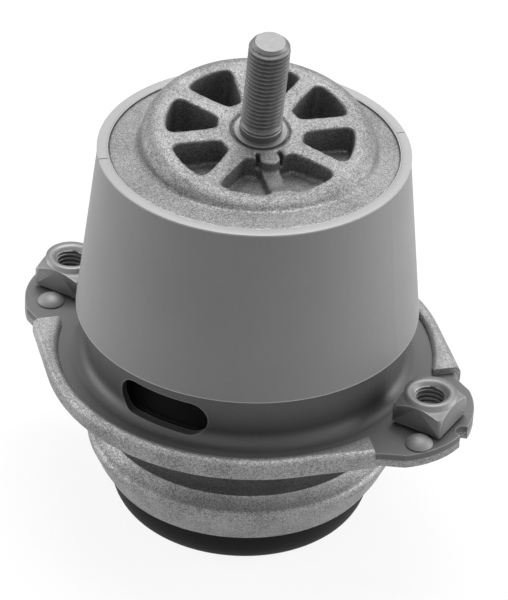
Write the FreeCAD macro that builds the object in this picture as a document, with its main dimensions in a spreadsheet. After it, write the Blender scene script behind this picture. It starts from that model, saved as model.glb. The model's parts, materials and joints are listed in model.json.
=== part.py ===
import FreeCAD, Part
import math
import os
import re
import Sketcher

# Hydraulic engine mount: a cast head on an inclined stud, a rubber spring under a conical heat shield,
# and a pressed steel housing and bracket that hold the fluid chamber.
# Millimetres, +Z up. The origin is on the housing's axis, at the flat underside of the bottom cap.

SIZES = {
    # height of the housing's flange above the base, and heights above that flange
    "flange_z": 51.0, "rim_rise": 71.0, "shield_foot_rise": 17.2, "housing_wall_h": 17.0,
    "housing_h": 37.0, "slot_rise": 6.7, "core_rise": 27.0, "core_tip_rise": 11.0,
    "cavity_rise": 6.0, "belly_rise": 13.0,
    # cast head and its hub, which leans with the stud
    "head_r": 44.0, "head_floor": 5.0, "head_web": 7.0, "step_w": 1.7, "ledge_rise": 1.0,
    "ledge_drop": 0.3, "head_edge": 5.5, "hub_flare": 3.0, "hub_r": 32.3, "hub_round": 1.4,
    "stud_tilt": 10.6, "hub_shift_x": 1.7, "hub_shift_y": 0.0, "hub_rise": 7.25,
    "spoke_w": 5.4, "boss_r": 12.8, "hub_rim_w": 5.7, "pocket_round": 2.2, "pocket_taper": 3.0,
    "pockets": 8.0, "low_spoke_drop": 5.6, "low_spoke_w": 9.0, "peg_r": 2.9, "peg_at": 11.9,
    "peg_taper": 1.5, "peg_drop": 9.0, "seat_r": 7.8, "seat_groove_w": 0.8, "seat_groove_d": 0.8,
    "neck_gap": 0.35, "neck_d": 2.0, "stem_r": 19.0, "stem_drop": 20.0, "stem_bevel": 3.0,
    # stud
    "stud_r": 6.0, "stud_out": 33.2, "stud_bevel": 1.7, "stud_root": 46.0, "neck_step": 0.2,
    "neck_h": 2.2,
    # heat shield
    "shield_t": 1.2, "shield_lip_t": 1.4, "shield_top_gap": 0.2, "shield_foot_gap": 2.0,
    # core of the rubber spring, with the rebound plate and buffer that it carries
    "core_neck_r": 14.0, "core_r": 20.0, "core_tip_r": 12.0, "rebound_lap": 5.0,
    "rebound_t": 3.0, "rebound_buffer_h": 3.5, "rebound_buffer_in_r": 17.0,
    # rubber spring and the ring in its foot
    "rubber_skin": 4.0, "rubber_step": 2.1, "rubber_waist": 2.6, "rubber_lip": 3.0,
    "cavity_top_r": 14.0, "foot_ring_h": 3.6, "foot_ring_w": 5.2,
    # upper housing
    "housing_r": 48.0, "plate_t": 2.2, "housing_taper": 4.5, "housing_lip_w": 13.5,
    "bend_r": 4.0, "slot_w": 29.6, "slot_h": 10.6,
    # buffer on top of the housing
    "buffer_h": 9.0, "buffer_step": 1.5, "buffer_bevel": 2.0,
    # lower bracket
    "hem_w": 8.5, "hem_run": 24.0, "hem_round": 2.2, "pot_t": 2.0, "pot_step": 3.0,
    "pot_neck_drop": 1.3, "bulge_out": 1.3, "bulge_step_h": 4.0, "bulge_h": 4.5,
    "pot_taper": 4.3, "pot_foot_z": 12.3, "pot_bend_r": 3.0,
    # ears that carry the nuts
    "nut_out": 2.5, "ear_root_run": 26.0, "ear_shoulder_out": 3.2, "ear_shoulder_y": 19.4,
    "ear_end_r": 26.5, "bolt_play": 1.25, "notch_out": 11.4, "notch_y": 0.6, "notch_r": 2.4,
    # weld nuts
    "nut_side": 15.8, "nut_h": 9.8, "nut_foot_h": 1.0, "nut_foot_r": 1.7, "nut_foot_in": 2.0,
    "nut_collar_h": 1.4, "nut_slope_h": 2.0, "thread_minor_r": 4.25, "mouth_out": 1.55,
    "nut_mouth_d": 1.4,
    # rivets that hold the two plates together
    "rivet_right_out": 3.6, "rivet_left_in": 0.8, "rivet_gap": 0.3, "rivet_shank_r": 2.6,
    "rivet_head_r": 4.1, "rivet_head_h": 1.6, "rivet_dome_r": 2.9, "rivet_dome_h": 2.2,
    "rivet_tail_r": 3.6, "rivet_tail_h": 0.8,
    # channel plates and the decoupler disc between them
    "channel_upper_t": 6.0, "channel_lower_t": 5.0, "channel_gap": 0.2, "track_in": 9.8,
    "track_w": 7.0, "track_d": 4.0, "port_r": 2.4, "port_ring_r": 11.0, "port_count": 6.0,
    "decoupler_r": 19.0, "decoupler_t": 2.2, "decoupler_play": 0.4,
    # diaphragm, its ring and the bottom cap
    "diaphragm_t": 1.8, "diaphragm_rim_h": 3.0, "bellows_r": 29.0, "bellows_low": 13.0,
    "bellows_dome_r": 8.0, "bellows_dome_z": 24.0, "clamp_ring_h": 3.0, "clamp_ring_w": 5.8,
    "cap_round": 4.6, "cap_t": 2.6, "cap_vent_r": 2.0,
    # clearances of parts that slide in, and of parts that are laid in
    "fit": 0.05, "seat": 0.1,
}

# sizes that follow from the ones above
RULES = {
    "rim_z": "flange_z + rim_rise",
    "shield_foot_z": "flange_z + shield_foot_rise",
    "housing_shoulder_z": "flange_z + housing_wall_h",
    "housing_top_z": "flange_z + housing_h",
    "slot_z": "flange_z + slot_rise",
    "core_shoulder_z": "flange_z + core_rise",
    "core_tip_z": "flange_z + core_tip_rise",
    "cavity_top_z": "flange_z + cavity_rise",
    "rubber_belly_z": "flange_z + belly_rise",
    "hem_top": "flange_z + seat + plate_t",
    "lower_plate_top": "flange_z - plate_t",
    "lower_plate_foot": "flange_z - 2 * plate_t",
    "foot_ring_top": "lower_plate_top + foot_ring_h",
    "channel_split": "lower_plate_top - channel_upper_t",
    "channel_foot": "channel_split - channel_lower_t",
    "rim_foot": "channel_foot - diaphragm_rim_h",
    "cap_top": "rim_foot - clamp_ring_h",
    "pot_neck_z": "rim_foot - pot_neck_drop",
    "bulge_top_z": "pot_neck_z - bulge_step_h",
    "bulge_foot_z": "bulge_top_z - bulge_h",
    "ledge_r": "head_r - step_w",
    "hub_foot_r": "hub_r + hub_flare",
    "pocket_r": "hub_r - hub_rim_w",
    "shield_top_r": "head_r + shield_top_gap + shield_t",
    "shield_foot_r": "housing_r + shield_foot_gap + shield_t",
    "housing_top_r": "housing_r - housing_taper",
    "housing_lip_r": "housing_top_r - housing_lip_w",
    "rebound_r": "housing_lip_r + rebound_lap",
    "buffer_in_r": "housing_lip_r + buffer_step",
    "buffer_out_r": "housing_top_r - buffer_step",
    "foot_ring_r": "housing_r - plate_t - seat",
    "foot_ring_in_r": "foot_ring_r - foot_ring_w",
    "rubber_foot_r": "foot_ring_r - rubber_step",
    "rubber_belly_r": "rubber_foot_r - rubber_waist",
    "cavity_r": "foot_ring_in_r - rubber_lip",
    "hem_in_r": "housing_r + bend_r",
    "hem_r": "hem_in_r + hem_w",
    "plate_r": "hem_r - plate_t - seat",
    "pot_neck_r": "housing_r - pot_step",
    "bulge_r": "pot_neck_r + bulge_out",
    "pot_foot_r": "bulge_r - pot_taper",
    "channel_r": "pot_neck_r - pot_t - channel_gap",
    "track_r": "channel_r - track_in",
    "clamp_ring_in_r": "channel_r - clamp_ring_w",
    "nut_x": "hem_r + nut_out",
    "ear_shoulder_x": "nut_x + ear_shoulder_out",
    "notch_x": "nut_x + notch_out",
    "bolt_hole_r": "thread_minor_r + bolt_play",
    "nut_mouth_r": "thread_minor_r + mouth_out",
    "nut_collar_r": "nut_side / 2 - seat",
    "nut_foot_at": "nut_side / 2 - nut_foot_in",
    "rivet_right_x": "nut_x + rivet_right_out",
    "rivet_left_x": "nut_x - rivet_left_in",
    "rivet_y": "nut_side / 2 + rivet_head_r + rivet_gap",
    "neck_r": "stud_r + neck_step",
    "pocket_depth": "(hub_rise + pocket_r * sin(stud_tilt * 1deg) + head_floor) / cos(stud_tilt * 1deg) + 1.5",
}


def make_sheet(doc):
    """Writes the driving sizes into a spreadsheet, one aliased cell each."""
    sheet = doc.addObject("Spreadsheet::Sheet", "Sizes")
    for row, (name, size) in enumerate(SIZES.items(), start=1):
        sheet.set(f"A{row}", name)
        sheet.set(f"B{row}", str(size))
        sheet.setAlias(f"B{row}", name)
    doc.recompute()
    return sheet


def on_sheet(rule):
    """Points each size named in a rule at its cell in the spreadsheet, through the rules that it follows."""
    def cell(found):
        name = found[0]
        if name in RULES:
            return f"({on_sheet(RULES[name])})"
        return f"Sizes.{name}" if name in SIZES else name
    return re.sub(r"[a-z_]+\w*", cell, str(rule))


def size(rule):
    """Value of a rule such as "rim_z - head_floor"."""
    result = SHEET.evalExpression(on_sheet(rule))
    return float(getattr(result, "Value", result))


def bind(thing, prop, rule):
    """Ties a property to sizes in the spreadsheet."""
    thing.setExpression(prop, on_sheet(rule))


def new_body(label):
    """Adds an empty sub-part, named for its STEP file."""
    body = DOC.addObject("PartDesign::Body", label)
    body.Label = label
    return body


def origin_part(body, role):
    """One of a body's own origin planes or axes."""
    return next(f for f in body.Origin.OriginFeatures if f.Role == role)


def new_sketch(body, name, plane="XY_Plane", height=None, tilted=False, sunk="0"):
    """Adds a sketch on a plane of the body, raised to a height, or laid on or under the hub's leaning top."""
    sketch = body.newObject("Sketcher::SketchObject", name)
    sketch.AttachmentSupport = (origin_part(body, plane), "")
    sketch.MapMode = "FlatFace"
    if tilted:
        lean = FreeCAD.Rotation(FreeCAD.Vector(1, 1, 0), size("stud_tilt"))
        sketch.AttachmentOffset = FreeCAD.Placement(FreeCAD.Vector(0, 0, 0), lean)
        across = f"({sunk}) * sin(stud_tilt * 1deg) * cos(45deg)"
        bind(sketch, "AttachmentOffset.Base.x", f"(hub_shift_x - {across}) * 1mm")
        bind(sketch, "AttachmentOffset.Base.y", f"(hub_shift_y + {across}) * 1mm")
        bind(sketch, "AttachmentOffset.Base.z", f"(rim_z + hub_rise - ({sunk}) * cos(stud_tilt * 1deg)) * 1mm")
        bind(sketch, "AttachmentOffset.Rotation.Angle", "stud_tilt * 1deg")
    elif height is not None:
        bind(sketch, "AttachmentOffset.Base.z", f"({height}) * 1mm")
    return sketch


def hold_point(sketch, index, end, x_rule, y_rule):
    """Ties an end of a sketch line to its two coordinates."""
    for kind, rule, axis in (("DistanceX", x_rule, -2), ("DistanceY", y_rule, -1)):
        if abs(size(rule)) < 1e-9:
            sketch.addConstraint(Sketcher.Constraint("PointOnObject", index, end, axis))
        else:
            made = sketch.addConstraint(Sketcher.Constraint(kind, -1, 1, index, end, size(rule)))
            bind(sketch, f"Constraints[{made}]", rule)


def arc_over(start, end, radius):
    """Minor arc of a radius, counter-clockwise from start to end."""
    chord = end - start
    inward = FreeCAD.Vector(-chord.y, chord.x, 0).normalize()
    depth = math.sqrt(max(radius ** 2 - (chord.Length / 2) ** 2, 0))
    centre = (start + end) * 0.5 + inward * depth
    first = math.atan2(start.y - centre.y, start.x - centre.x)
    last = math.atan2(end.y - centre.y, end.x - centre.x)
    if last < first:
        last += 2 * math.pi
    return Part.ArcOfCircle(Part.Circle(centre, FreeCAD.Vector(0, 0, 1), radius), first, last)


def outline(sketch, corners, arcs=None):
    """Draws a closed outline through corners, given as pairs of rules.

    arcs gives a radius rule for each side that is an arc, and 1 where it bows outward to the right of
    its way round, or -1 where it bows to the left.
    """
    arcs = arcs or {}
    points = [FreeCAD.Vector(size(x), size(y), 0) for x, y in corners]
    ends = []
    for side, start in enumerate(points):
        end = points[(side + 1) % len(points)]
        radius, bow = arcs.get(side, (None, 0))
        if bow > 0:
            ends.append((sketch.addGeometry(arc_over(start, end, size(radius))), 1, 2))
        elif bow < 0:
            ends.append((sketch.addGeometry(arc_over(end, start, size(radius))), 2, 1))
        else:
            ends.append((sketch.addGeometry(Part.LineSegment(start, end)), 1, 2))
    for side, (index, first, last) in enumerate(ends):
        follower, follower_first, _ = ends[(side + 1) % len(ends)]
        sketch.addConstraint(Sketcher.Constraint("Coincident", index, last, follower, follower_first))
    for side, (x_rule, y_rule) in enumerate(corners):
        hold_point(sketch, ends[side][0], ends[side][1], x_rule, y_rule)
    for side, (radius, _) in arcs.items():
        made = sketch.addConstraint(Sketcher.Constraint("Radius", ends[side][0], size(radius)))
        bind(sketch, f"Constraints[{made}]", radius)
    return sketch


def circle(sketch, radius, x_rule="0", y_rule="0"):
    """Adds a circle to a sketch."""
    centre = FreeCAD.Vector(size(x_rule), size(y_rule), 0)
    made = sketch.addGeometry(Part.Circle(centre, FreeCAD.Vector(0, 0, 1), size(radius)))
    hold_point(sketch, made, 3, x_rule, y_rule)
    held = sketch.addConstraint(Sketcher.Constraint("Radius", made, size(radius)))
    bind(sketch, f"Constraints[{held}]", radius)
    return sketch


def checked(body, feature, grows):
    """Recomputes and makes sure that a feature added or removed material."""
    before = body.Tip.Shape.Volume if body.Tip and body.Tip != feature else 0.0
    DOC.recompute()
    after = feature.Shape.Volume
    base = feature.BaseFeature.Shape.Volume if getattr(feature, "BaseFeature", None) else before
    if (after > base + 1e-6) != grows:
        raise ValueError(f"{feature.Label} changed nothing: {base:.1f} to {after:.1f}")
    return feature


def turn(body, name, corners, arcs=None):
    """Revolves a half section, given as (radius, height) corners, about the body's own axis."""
    sketch = outline(new_sketch(body, name + "_section", "XZ_Plane"), corners, arcs)
    feature = body.newObject("PartDesign::Revolution", name)
    feature.Profile = sketch
    feature.ReferenceAxis = (sketch, ["V_Axis"])
    feature.Angle = 360
    return checked(body, feature, True)


def groove(body, name, corners, arcs=None):
    """Turns a half section out of the body."""
    sketch = outline(new_sketch(body, name + "_section", "XZ_Plane"), corners, arcs)
    feature = body.newObject("PartDesign::Groove", name)
    feature.Profile = sketch
    feature.ReferenceAxis = (sketch, ["V_Axis"])
    feature.Angle = 360
    return checked(body, feature, False)


def pad(body, name, sketch, length, reversed_pad=False, taper=None):
    """Pads a sketch along its normal."""
    feature = body.newObject("PartDesign::Pad", name)
    feature.Profile = sketch
    feature.Reversed = reversed_pad
    bind(feature, "Length", f"({length}) * 1mm")
    if taper:
        bind(feature, "TaperAngle", f"({taper}) * 1deg")
    return checked(body, feature, True)


def pocket(body, name, sketch, length=None, reversed_cut=False, taper=None, midplane=False):
    """Cuts a sketch out of the body, against its normal, by a length or right through."""
    feature = body.newObject("PartDesign::Pocket", name)
    feature.Profile = sketch
    feature.Reversed = reversed_cut
    feature.Midplane = midplane
    if length is None:
        feature.Type = "ThroughAll"
    else:
        bind(feature, "Length", f"({length}) * 1mm")
    if taper:
        bind(feature, "TaperAngle", f"({taper}) * 1deg")
    return checked(body, feature, False)


def spread(body, name, feature, axis_sketch, count):
    """Repeats a feature about the normal of a sketch."""
    pattern = body.newObject("PartDesign::PolarPattern", name)
    pattern.Originals = [feature]
    pattern.Axis = (axis_sketch, ["N_Axis"])
    pattern.Angle = 360
    bind(pattern, "Occurrences", count)
    body.Tip = pattern
    DOC.recompute()
    return pattern


def edges_where(shape, test):
    """Names of a shape's edges that pass a test."""
    return [f"Edge{i}" for i, edge in enumerate(shape.Edges, start=1) if test(edge)]


def ring_edge(radius, height, slack=0.05):
    """Test for a circle about the axis at a radius and height."""
    def test(edge):
        curve = getattr(edge, "Curve", None)
        return (isinstance(curve, Part.Circle) and abs(curve.Radius - size(radius)) < slack
                and abs(curve.Center.z - size(height)) < slack
                and math.hypot(curve.Center.x, curve.Center.y) < slack)
    return test


def soften(body, name, radius, *tests):
    """Rounds the edges of the body that pass any of the tests."""
    base = body.Tip
    names = edges_where(base.Shape, lambda edge: any(test(edge) for test in tests))
    if not names:
        raise ValueError(f"{name} finds no edge")
    feature = body.newObject("PartDesign::Fillet", name)
    feature.Base = (base, names)
    bind(feature, "Radius", f"({radius}) * 1mm")
    DOC.recompute()
    if "Invalid" in feature.State:
        raise ValueError(f"{name} can't be rounded")
    return feature


def heat_shield():
    """Conical sheet cover: a narrow lip on the head's step and a long flared skirt."""
    body = new_body("heat_shield")
    turn(body, "skirt", [
        ("ledge_r + seat", "rim_z"), ("shield_top_r", "rim_z"), ("shield_foot_r", "shield_foot_z"),
        ("shield_foot_r - shield_t", "shield_foot_z"),
        ("shield_top_r - shield_t", "rim_z - shield_lip_t"),
        ("ledge_r + seat", "rim_z - shield_lip_t")])
    soften(body, "top_round", "shield_t * 0.6", ring_edge("shield_top_r", "rim_z"))


def sector(sketch, draft="0"):
    """Pocket between two spokes, with rounded corners, drawn in by a draft; the first spoke lies along X."""
    half = f"(spoke_w / 2 + {draft})"
    outer = f"(pocket_r - {draft})"
    inner = f"(boss_r + {draft})"
    corner = f"(pocket_round - {draft})"
    turn_angle = "360deg / pockets"
    out_x = f"sqrt(({outer} - {corner})^2 - ({half} + {corner})^2)"
    in_x = f"sqrt(({inner} + {corner})^2 - ({half} + {corner})^2)"
    out_k = f"{outer} / ({outer} - {corner})"
    in_k = f"{inner} / ({inner} + {corner})"
    lower = [
        (f"{in_x} * {in_k}", f"({half} + {corner}) * {in_k}"), (in_x, half),
        (out_x, half), (f"{out_x} * {out_k}", f"({half} + {corner}) * {out_k}")]
    upper = [(f"({x}) * cos({turn_angle}) + ({y}) * sin({turn_angle})",
              f"({x}) * sin({turn_angle}) - ({y}) * cos({turn_angle})") for x, y in reversed(lower)]
    bend = (corner, 1)
    arcs = {0: bend, 2: bend, 3: (outer, 1), 4: bend, 6: bend, 7: (inner, -1)}
    return outline(sketch, lower + upper, arcs)


def top_core():
    """Cast head: flat ledge, leaning hub with eight pockets and a peg, and a stem to the rubber's core."""
    body = new_body("top_core")
    floor_plane = new_sketch(body, "floor_circle", height="rim_z - head_floor")
    pad(body, "hub_root", circle(floor_plane, "hub_foot_r"), "head_floor + ledge_rise")
    foot = circle(new_sketch(body, "hub_foot", height="rim_z + ledge_rise - hub_round"), "hub_foot_r")
    shoulder = circle(new_sketch(body, "hub_shoulder", tilted=True, sunk="hub_round"), "hub_r")
    top = circle(new_sketch(body, "hub_top", tilted=True), "hub_r - hub_round * 0.7")
    loft = body.newObject("PartDesign::AdditiveLoft", "hub_wall")
    loft.Profile = foot
    loft.Sections = [shoulder, top]
    loft.Ruled = True
    checked(body, loft, True)
    plan = sector(new_sketch(body, "pocket_plan", tilted=True))
    floor = sector(new_sketch(body, "pocket_floor", tilted=True, sunk="pocket_depth"),
                   "(pocket_depth) * tan(pocket_taper * 1deg)")
    wedge = body.newObject("PartDesign::SubtractiveLoft", "pocket")
    wedge.Profile = plan
    wedge.Sections = [floor]
    wedge.Ruled = True
    checked(body, wedge, False)
    spread(body, "pocket_ring", wedge, plan, "pockets")
    low = outline(new_sketch(body, "low_spoke_plan", tilted=True), low_spoke_corners())
    pocket(body, "low_spoke", low, "low_spoke_drop")
    turn(body, "disc", [
        ("0", "rim_z - head_floor"), ("hub_foot_r", "rim_z - head_floor"),
        ("hub_foot_r", "rim_z + ledge_rise"), ("ledge_r", "rim_z - ledge_drop"),
        ("ledge_r", "rim_z - shield_lip_t"), ("head_r", "rim_z - shield_lip_t"),
        ("head_r", "rim_z - head_edge"), ("hub_foot_r", "rim_z - head_floor - head_web + 2"),
        ("stem_r + stem_bevel", "rim_z - head_floor - head_web"),
        ("stem_r", "rim_z - head_floor - head_web - stem_bevel"), ("stem_r", "rim_z - stem_drop"),
        ("0", "rim_z - stem_drop")])
    peg = circle(new_sketch(body, "peg_plan", tilted=True), "peg_r",
                 "peg_at * cos(45deg)", "-peg_at * sin(45deg)")
    pad(body, "peg", peg, "peg_drop", reversed_pad=True, taper="peg_taper")
    ring = circle(circle(new_sketch(body, "seat_plan", tilted=True), "seat_r + seat_groove_w"), "seat_r")
    pocket(body, "seat_groove", ring, "seat_groove_d")
    neck = circle(new_sketch(body, "neck_plan", tilted=True), "neck_r + neck_gap")
    pocket(body, "neck_recess", neck, "neck_d")
    bore_for_stud(body)


def bore_for_stud(body):
    """Bores a piece along the leaning stud, down to the stud's root."""
    bore = circle(new_sketch(body, "bore_plan", tilted=True), "neck_r + fit")
    pocket(body, "stud_bore", bore, "stud_root")


def low_spoke_corners():
    """Plan of the lowered spoke, which points the way that the hub leans."""
    reach = (("peg_at", "-1"), ("pocket_r - 0.3", "-1"), ("pocket_r - 0.3", "1"), ("peg_at", "1"))
    corners = []
    for along, side in reach:
        across = f"({side}) * low_spoke_w / 2"
        corners.append((f"({along}) * cos(45deg) + {across} * sin(45deg)",
                        f"-({along}) * sin(45deg) + {across} * cos(45deg)"))
    return corners


def lean(body):
    """Sets a piece that was turned about its own axis onto the hub's leaning axis."""
    body.Placement = FreeCAD.Placement(
        FreeCAD.Vector(0, 0, 0), FreeCAD.Rotation(FreeCAD.Vector(1, 1, 0), size("stud_tilt")))
    bind(body, "Placement.Rotation.Angle", "stud_tilt * 1deg")
    place(body, "hub_shift_x", "hub_shift_y", "rim_z + hub_rise")


def place(body, x="0", y="0", z="0"):
    """Moves a piece to its place in the mount."""
    for axis, rule in (("x", x), ("y", y), ("z", z)):
        bind(body, f"Placement.Base.{axis}", f"({rule}) * 1mm")


def threaded_stud():
    """Stud through the head into the rubber's core; its thread is a plain cylinder of the major size."""
    body = new_body("threaded_stud")
    tip = "stud_root + stud_out"
    turn(body, "shank", [
        ("0", "0"), ("neck_r - stud_bevel / 2", "0"), ("neck_r", "stud_bevel / 2"),
        ("neck_r", "stud_root + neck_h"), ("stud_r", "stud_root + neck_h"),
        ("stud_r", f"{tip} - stud_bevel"), ("stud_r - stud_bevel", tip), ("0", tip)])
    lean(body)
    across = "stud_root * sin(stud_tilt * 1deg) * cos(45deg)"
    place(body, f"hub_shift_x - {across}", f"hub_shift_y + {across}",
          "rim_z + hub_rise - stud_root * cos(stud_tilt * 1deg)")


def inner_core():
    """Turned core that the rubber is bonded to, with a neck for the rebound plate."""
    body = new_body("inner_core")
    turn(body, "core", [
        ("0", "core_tip_z"), ("core_tip_r", "core_tip_z"), ("core_r", "core_shoulder_z"),
        ("core_neck_r", "core_shoulder_z"), ("core_neck_r", "rim_z - stem_drop"), ("0", "rim_z - stem_drop")])
    bore_for_stud(body)


def rebound_plate():
    """Pressed disc on the core's shoulder that stops the core from leaving the housing."""
    body = new_body("rebound_plate")
    top = "core_shoulder_z + rebound_t"
    turn(body, "disc", [
        ("core_neck_r + fit", "core_shoulder_z"), ("rebound_r", "core_shoulder_z"),
        ("rebound_r", top), ("core_neck_r + fit", top)])
    soften(body, "rim_round", "rebound_t / 4", ring_edge("rebound_r", "core_shoulder_z"),
           ring_edge("rebound_r", top))


def rebound_buffer():
    """Rubber ring between the rebound plate and the housing's lip."""
    body = new_body("rebound_buffer")
    foot = "core_shoulder_z + rebound_t"
    turn(body, "ring", [
        ("rebound_buffer_in_r", foot), ("rebound_r - 1", foot),
        ("rebound_r - 2", f"{foot} + rebound_buffer_h"),
        ("rebound_buffer_in_r + 1", f"{foot} + rebound_buffer_h")])


def rubber_spring():
    """Thick rubber cone from the core to the foot ring, open below as the working chamber."""
    body = new_body("rubber_spring")
    turn(body, "cone", [
        ("0", "cavity_top_z"), ("cavity_top_r", "cavity_top_z"), ("cavity_r", "lower_plate_top"),
        ("foot_ring_in_r", "lower_plate_top"), ("foot_ring_in_r", "foot_ring_top"),
        ("rubber_foot_r", "foot_ring_top"), ("rubber_belly_r", "rubber_belly_z"),
        ("core_r + rubber_skin", "core_shoulder_z"), ("core_r", "core_shoulder_z"),
        ("core_tip_r", "core_tip_z"), ("0", "core_tip_z")])


def spring_foot_ring():
    """Steel ring in the foot of the rubber, laid on the bracket inside the housing."""
    body = new_body("spring_foot_ring")
    turn(body, "ring", [
        ("foot_ring_in_r", "lower_plate_top"), ("foot_ring_r", "lower_plate_top"),
        ("foot_ring_r", "lower_plate_top + foot_ring_h * 0.6"),
        ("foot_ring_r - 1", "foot_ring_top"), ("foot_ring_in_r", "foot_ring_top")])


def bump_stop_ring():
    """Rubber ring on top of the housing that the head lands on."""
    body = new_body("bump_stop_ring")
    top = "housing_top_z + buffer_h"
    turn(body, "ring", [
        ("buffer_in_r", "housing_top_z"), ("buffer_out_r", "housing_top_z"),
        ("buffer_out_r", f"{top} - buffer_bevel"), ("buffer_out_r - buffer_bevel", top),
        ("buffer_in_r + buffer_bevel", top), ("buffer_in_r", f"{top} - buffer_bevel")])


def ear_outline(sketch):
    """Outline that both plates share: a round middle, tangents at 45 degrees and two broad ears."""
    tangent = "plate_r * cos(45deg)"
    root_x = "(plate_r + ear_root_run) * cos(45deg)"
    root_y = "(plate_r - ear_root_run) * cos(45deg)"
    right = [(tangent, f"-{tangent}"), (root_x, f"-{root_y}"), ("ear_shoulder_x", "-ear_shoulder_y"),
             ("ear_shoulder_x", "ear_shoulder_y"), (root_x, root_y), (tangent, tangent)]
    left = [(f"-({x})", f"-({y})") for x, y in right]
    arcs = {2: ("ear_end_r", 1), 5: ("plate_r", 1), 8: ("ear_end_r", 1), 11: ("plate_r", 1)}
    return outline(sketch, right + left, arcs)


def plate_holes(body, foot):
    """Cuts what both plates share: bolt holes under the nuts, rivet holes and the notch in one ear."""
    plan = new_sketch(body, "hole_plan", height=foot)
    circle(plan, "bolt_hole_r", "nut_x")
    circle(plan, "bolt_hole_r", "-nut_x")
    circle(plan, "rivet_shank_r + fit", "rivet_right_x", "-rivet_y")
    circle(plan, "rivet_shank_r + fit", "-rivet_left_x", "-rivet_y")
    circle(plan, "notch_r", "notch_x", "notch_y")
    pocket(body, "ear_holes", plan, "plate_t + seat", reversed_cut=True)


def upper_housing():
    """Deep-drawn can with an inward lip, a flange with two ears, and a window on each side."""
    body = new_body("upper_housing")
    wall_in = "(housing_r - plate_t)"
    bend_z = "(flange_z + bend_r)"
    flat_r = "(housing_r + bend_r)"
    turn(body, "can", [
        ("housing_lip_r", "housing_top_z"), ("housing_top_r", "housing_top_z"),
        ("housing_r", "housing_shoulder_z"), ("housing_r", bend_z), (flat_r, "flange_z"),
        (f"{flat_r} + 1", "flange_z"), (f"{flat_r} + 1", "lower_plate_top"), (flat_r, "lower_plate_top"),
        (wall_in, bend_z), (wall_in, "housing_shoulder_z - plate_t / 4"),
        ("housing_top_r - plate_t", "housing_top_z - plate_t"),
        ("housing_lip_r", "housing_top_z - plate_t")],
        {3: ("bend_r", 1), 7: ("bend_r + plate_t", -1)})
    plan = ear_outline(new_sketch(body, "flange_plan", height="lower_plate_top"))
    pad(body, "flange", circle(plan, f"{flat_r} + 0.5"), "plate_t")
    plate_holes(body, "lower_plate_top")
    windows = new_sketch(body, "window_plan", "XZ_Plane")
    run = "(slot_w - slot_h) / 2"
    outline(windows, [
        (f"-{run}", "slot_z - slot_h / 2"), (run, "slot_z - slot_h / 2"),
        (run, "slot_z + slot_h / 2"), (f"-{run}", "slot_z + slot_h / 2")],
        {1: ("slot_h / 2 + 0.0001", 1), 3: ("slot_h / 2 + 0.0001", 1)})
    pocket(body, "windows", windows, "housing_r * 2 + 2", midplane=True)
    soften(body, "shoulder_round", "bend_r", ring_edge("housing_r", "housing_shoulder_z"))


def hem_band(sketch, outer, inner, run):
    """Adds the front and back bands of the hem: an arc of 90 degrees and a straight run at each end."""
    def spot(radius, reach, side):
        return (f"({side}) * ({radius} + ({reach})) * cos(45deg)", f"-({radius} - ({reach})) * cos(45deg)")
    front = [spot(outer, run, "-1"), spot(outer, "0", "-1"), spot(outer, "0", "1"), spot(outer, run, "1"),
             spot(inner, run, "1"), spot(inner, "0", "1"), spot(inner, "0", "-1"), spot(inner, run, "-1")]
    back = [(f"-({x})", f"-({y})") for x, y in front]
    arcs = {1: (outer, 1), 5: (inner, -1)}
    outline(sketch, front, arcs)
    outline(sketch, back, arcs)
    return sketch


def on_hem_edge(height):
    """Test for the outer edges of the hem at a height."""
    reach = size("hem_r") * math.sqrt(2)
    level = size(height)
    return lambda edge: all(abs(v.Z - level) < 1e-3 and abs(abs(v.X) + abs(v.Y) - reach) < 1e-3
                            for v in edge.Vertexes)


def lower_bracket():
    """Deep-drawn pot with a flange that is folded over the housing's flange at the front and the back."""
    body = new_body("lower_bracket")
    inner_neck = "(pot_neck_r - pot_t)"
    foot = "lower_plate_foot"
    turn(body, "pot", [
        (inner_neck, "lower_plate_top"), (f"{inner_neck} + pot_t + pot_bend_r + 2", "lower_plate_top"),
        (f"{inner_neck} + pot_t + pot_bend_r + 2", foot), ("pot_neck_r + pot_bend_r", foot),
        ("pot_neck_r", f"{foot} - pot_bend_r"), ("pot_neck_r", "pot_neck_z"),
        ("bulge_r", "bulge_top_z"), ("bulge_r", "bulge_foot_z"), ("pot_foot_r", "pot_foot_z"),
        ("pot_foot_r - pot_t", "pot_foot_z"), ("bulge_r - pot_t", "bulge_foot_z"),
        ("bulge_r - pot_t", "bulge_top_z"), (inner_neck, "pot_neck_z")],
        {3: ("pot_bend_r", 1)})
    plan = ear_outline(new_sketch(body, "plate_plan", height=foot))
    pad(body, "plate", circle(plan, "pot_neck_r + pot_bend_r + 1"), "plate_t")
    hem = hem_band(new_sketch(body, "hem_plan", height=foot), "hem_r", "hem_in_r", "hem_run")
    pad(body, "hem", hem, f"hem_top - {foot}")
    gap = hem_band(new_sketch(body, "hem_gap_plan", height="lower_plate_top"),
                   "(hem_r - plate_t)", "(hem_in_r - 4)", "hem_run + 1")
    pocket(body, "hem_gap", gap, "hem_top - plate_t - lower_plate_top", reversed_cut=True)
    soften(body, "hem_fold", "hem_round", on_hem_edge(foot), on_hem_edge("hem_top"))
    soften(body, "bulge_round", "pot_t / 2", ring_edge("bulge_r", "bulge_top_z"))
    plate_holes(body, foot)
    tails = circle(new_sketch(body, "rivet_tail_plan", height=foot), "rivet_tail_r + fit", "rivet_right_x", "-rivet_y")
    circle(tails, "rivet_tail_r + fit", "-rivet_left_x", "-rivet_y")
    pocket(body, "rivet_tail_seats", tails, "rivet_tail_h", reversed_cut=True)


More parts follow.
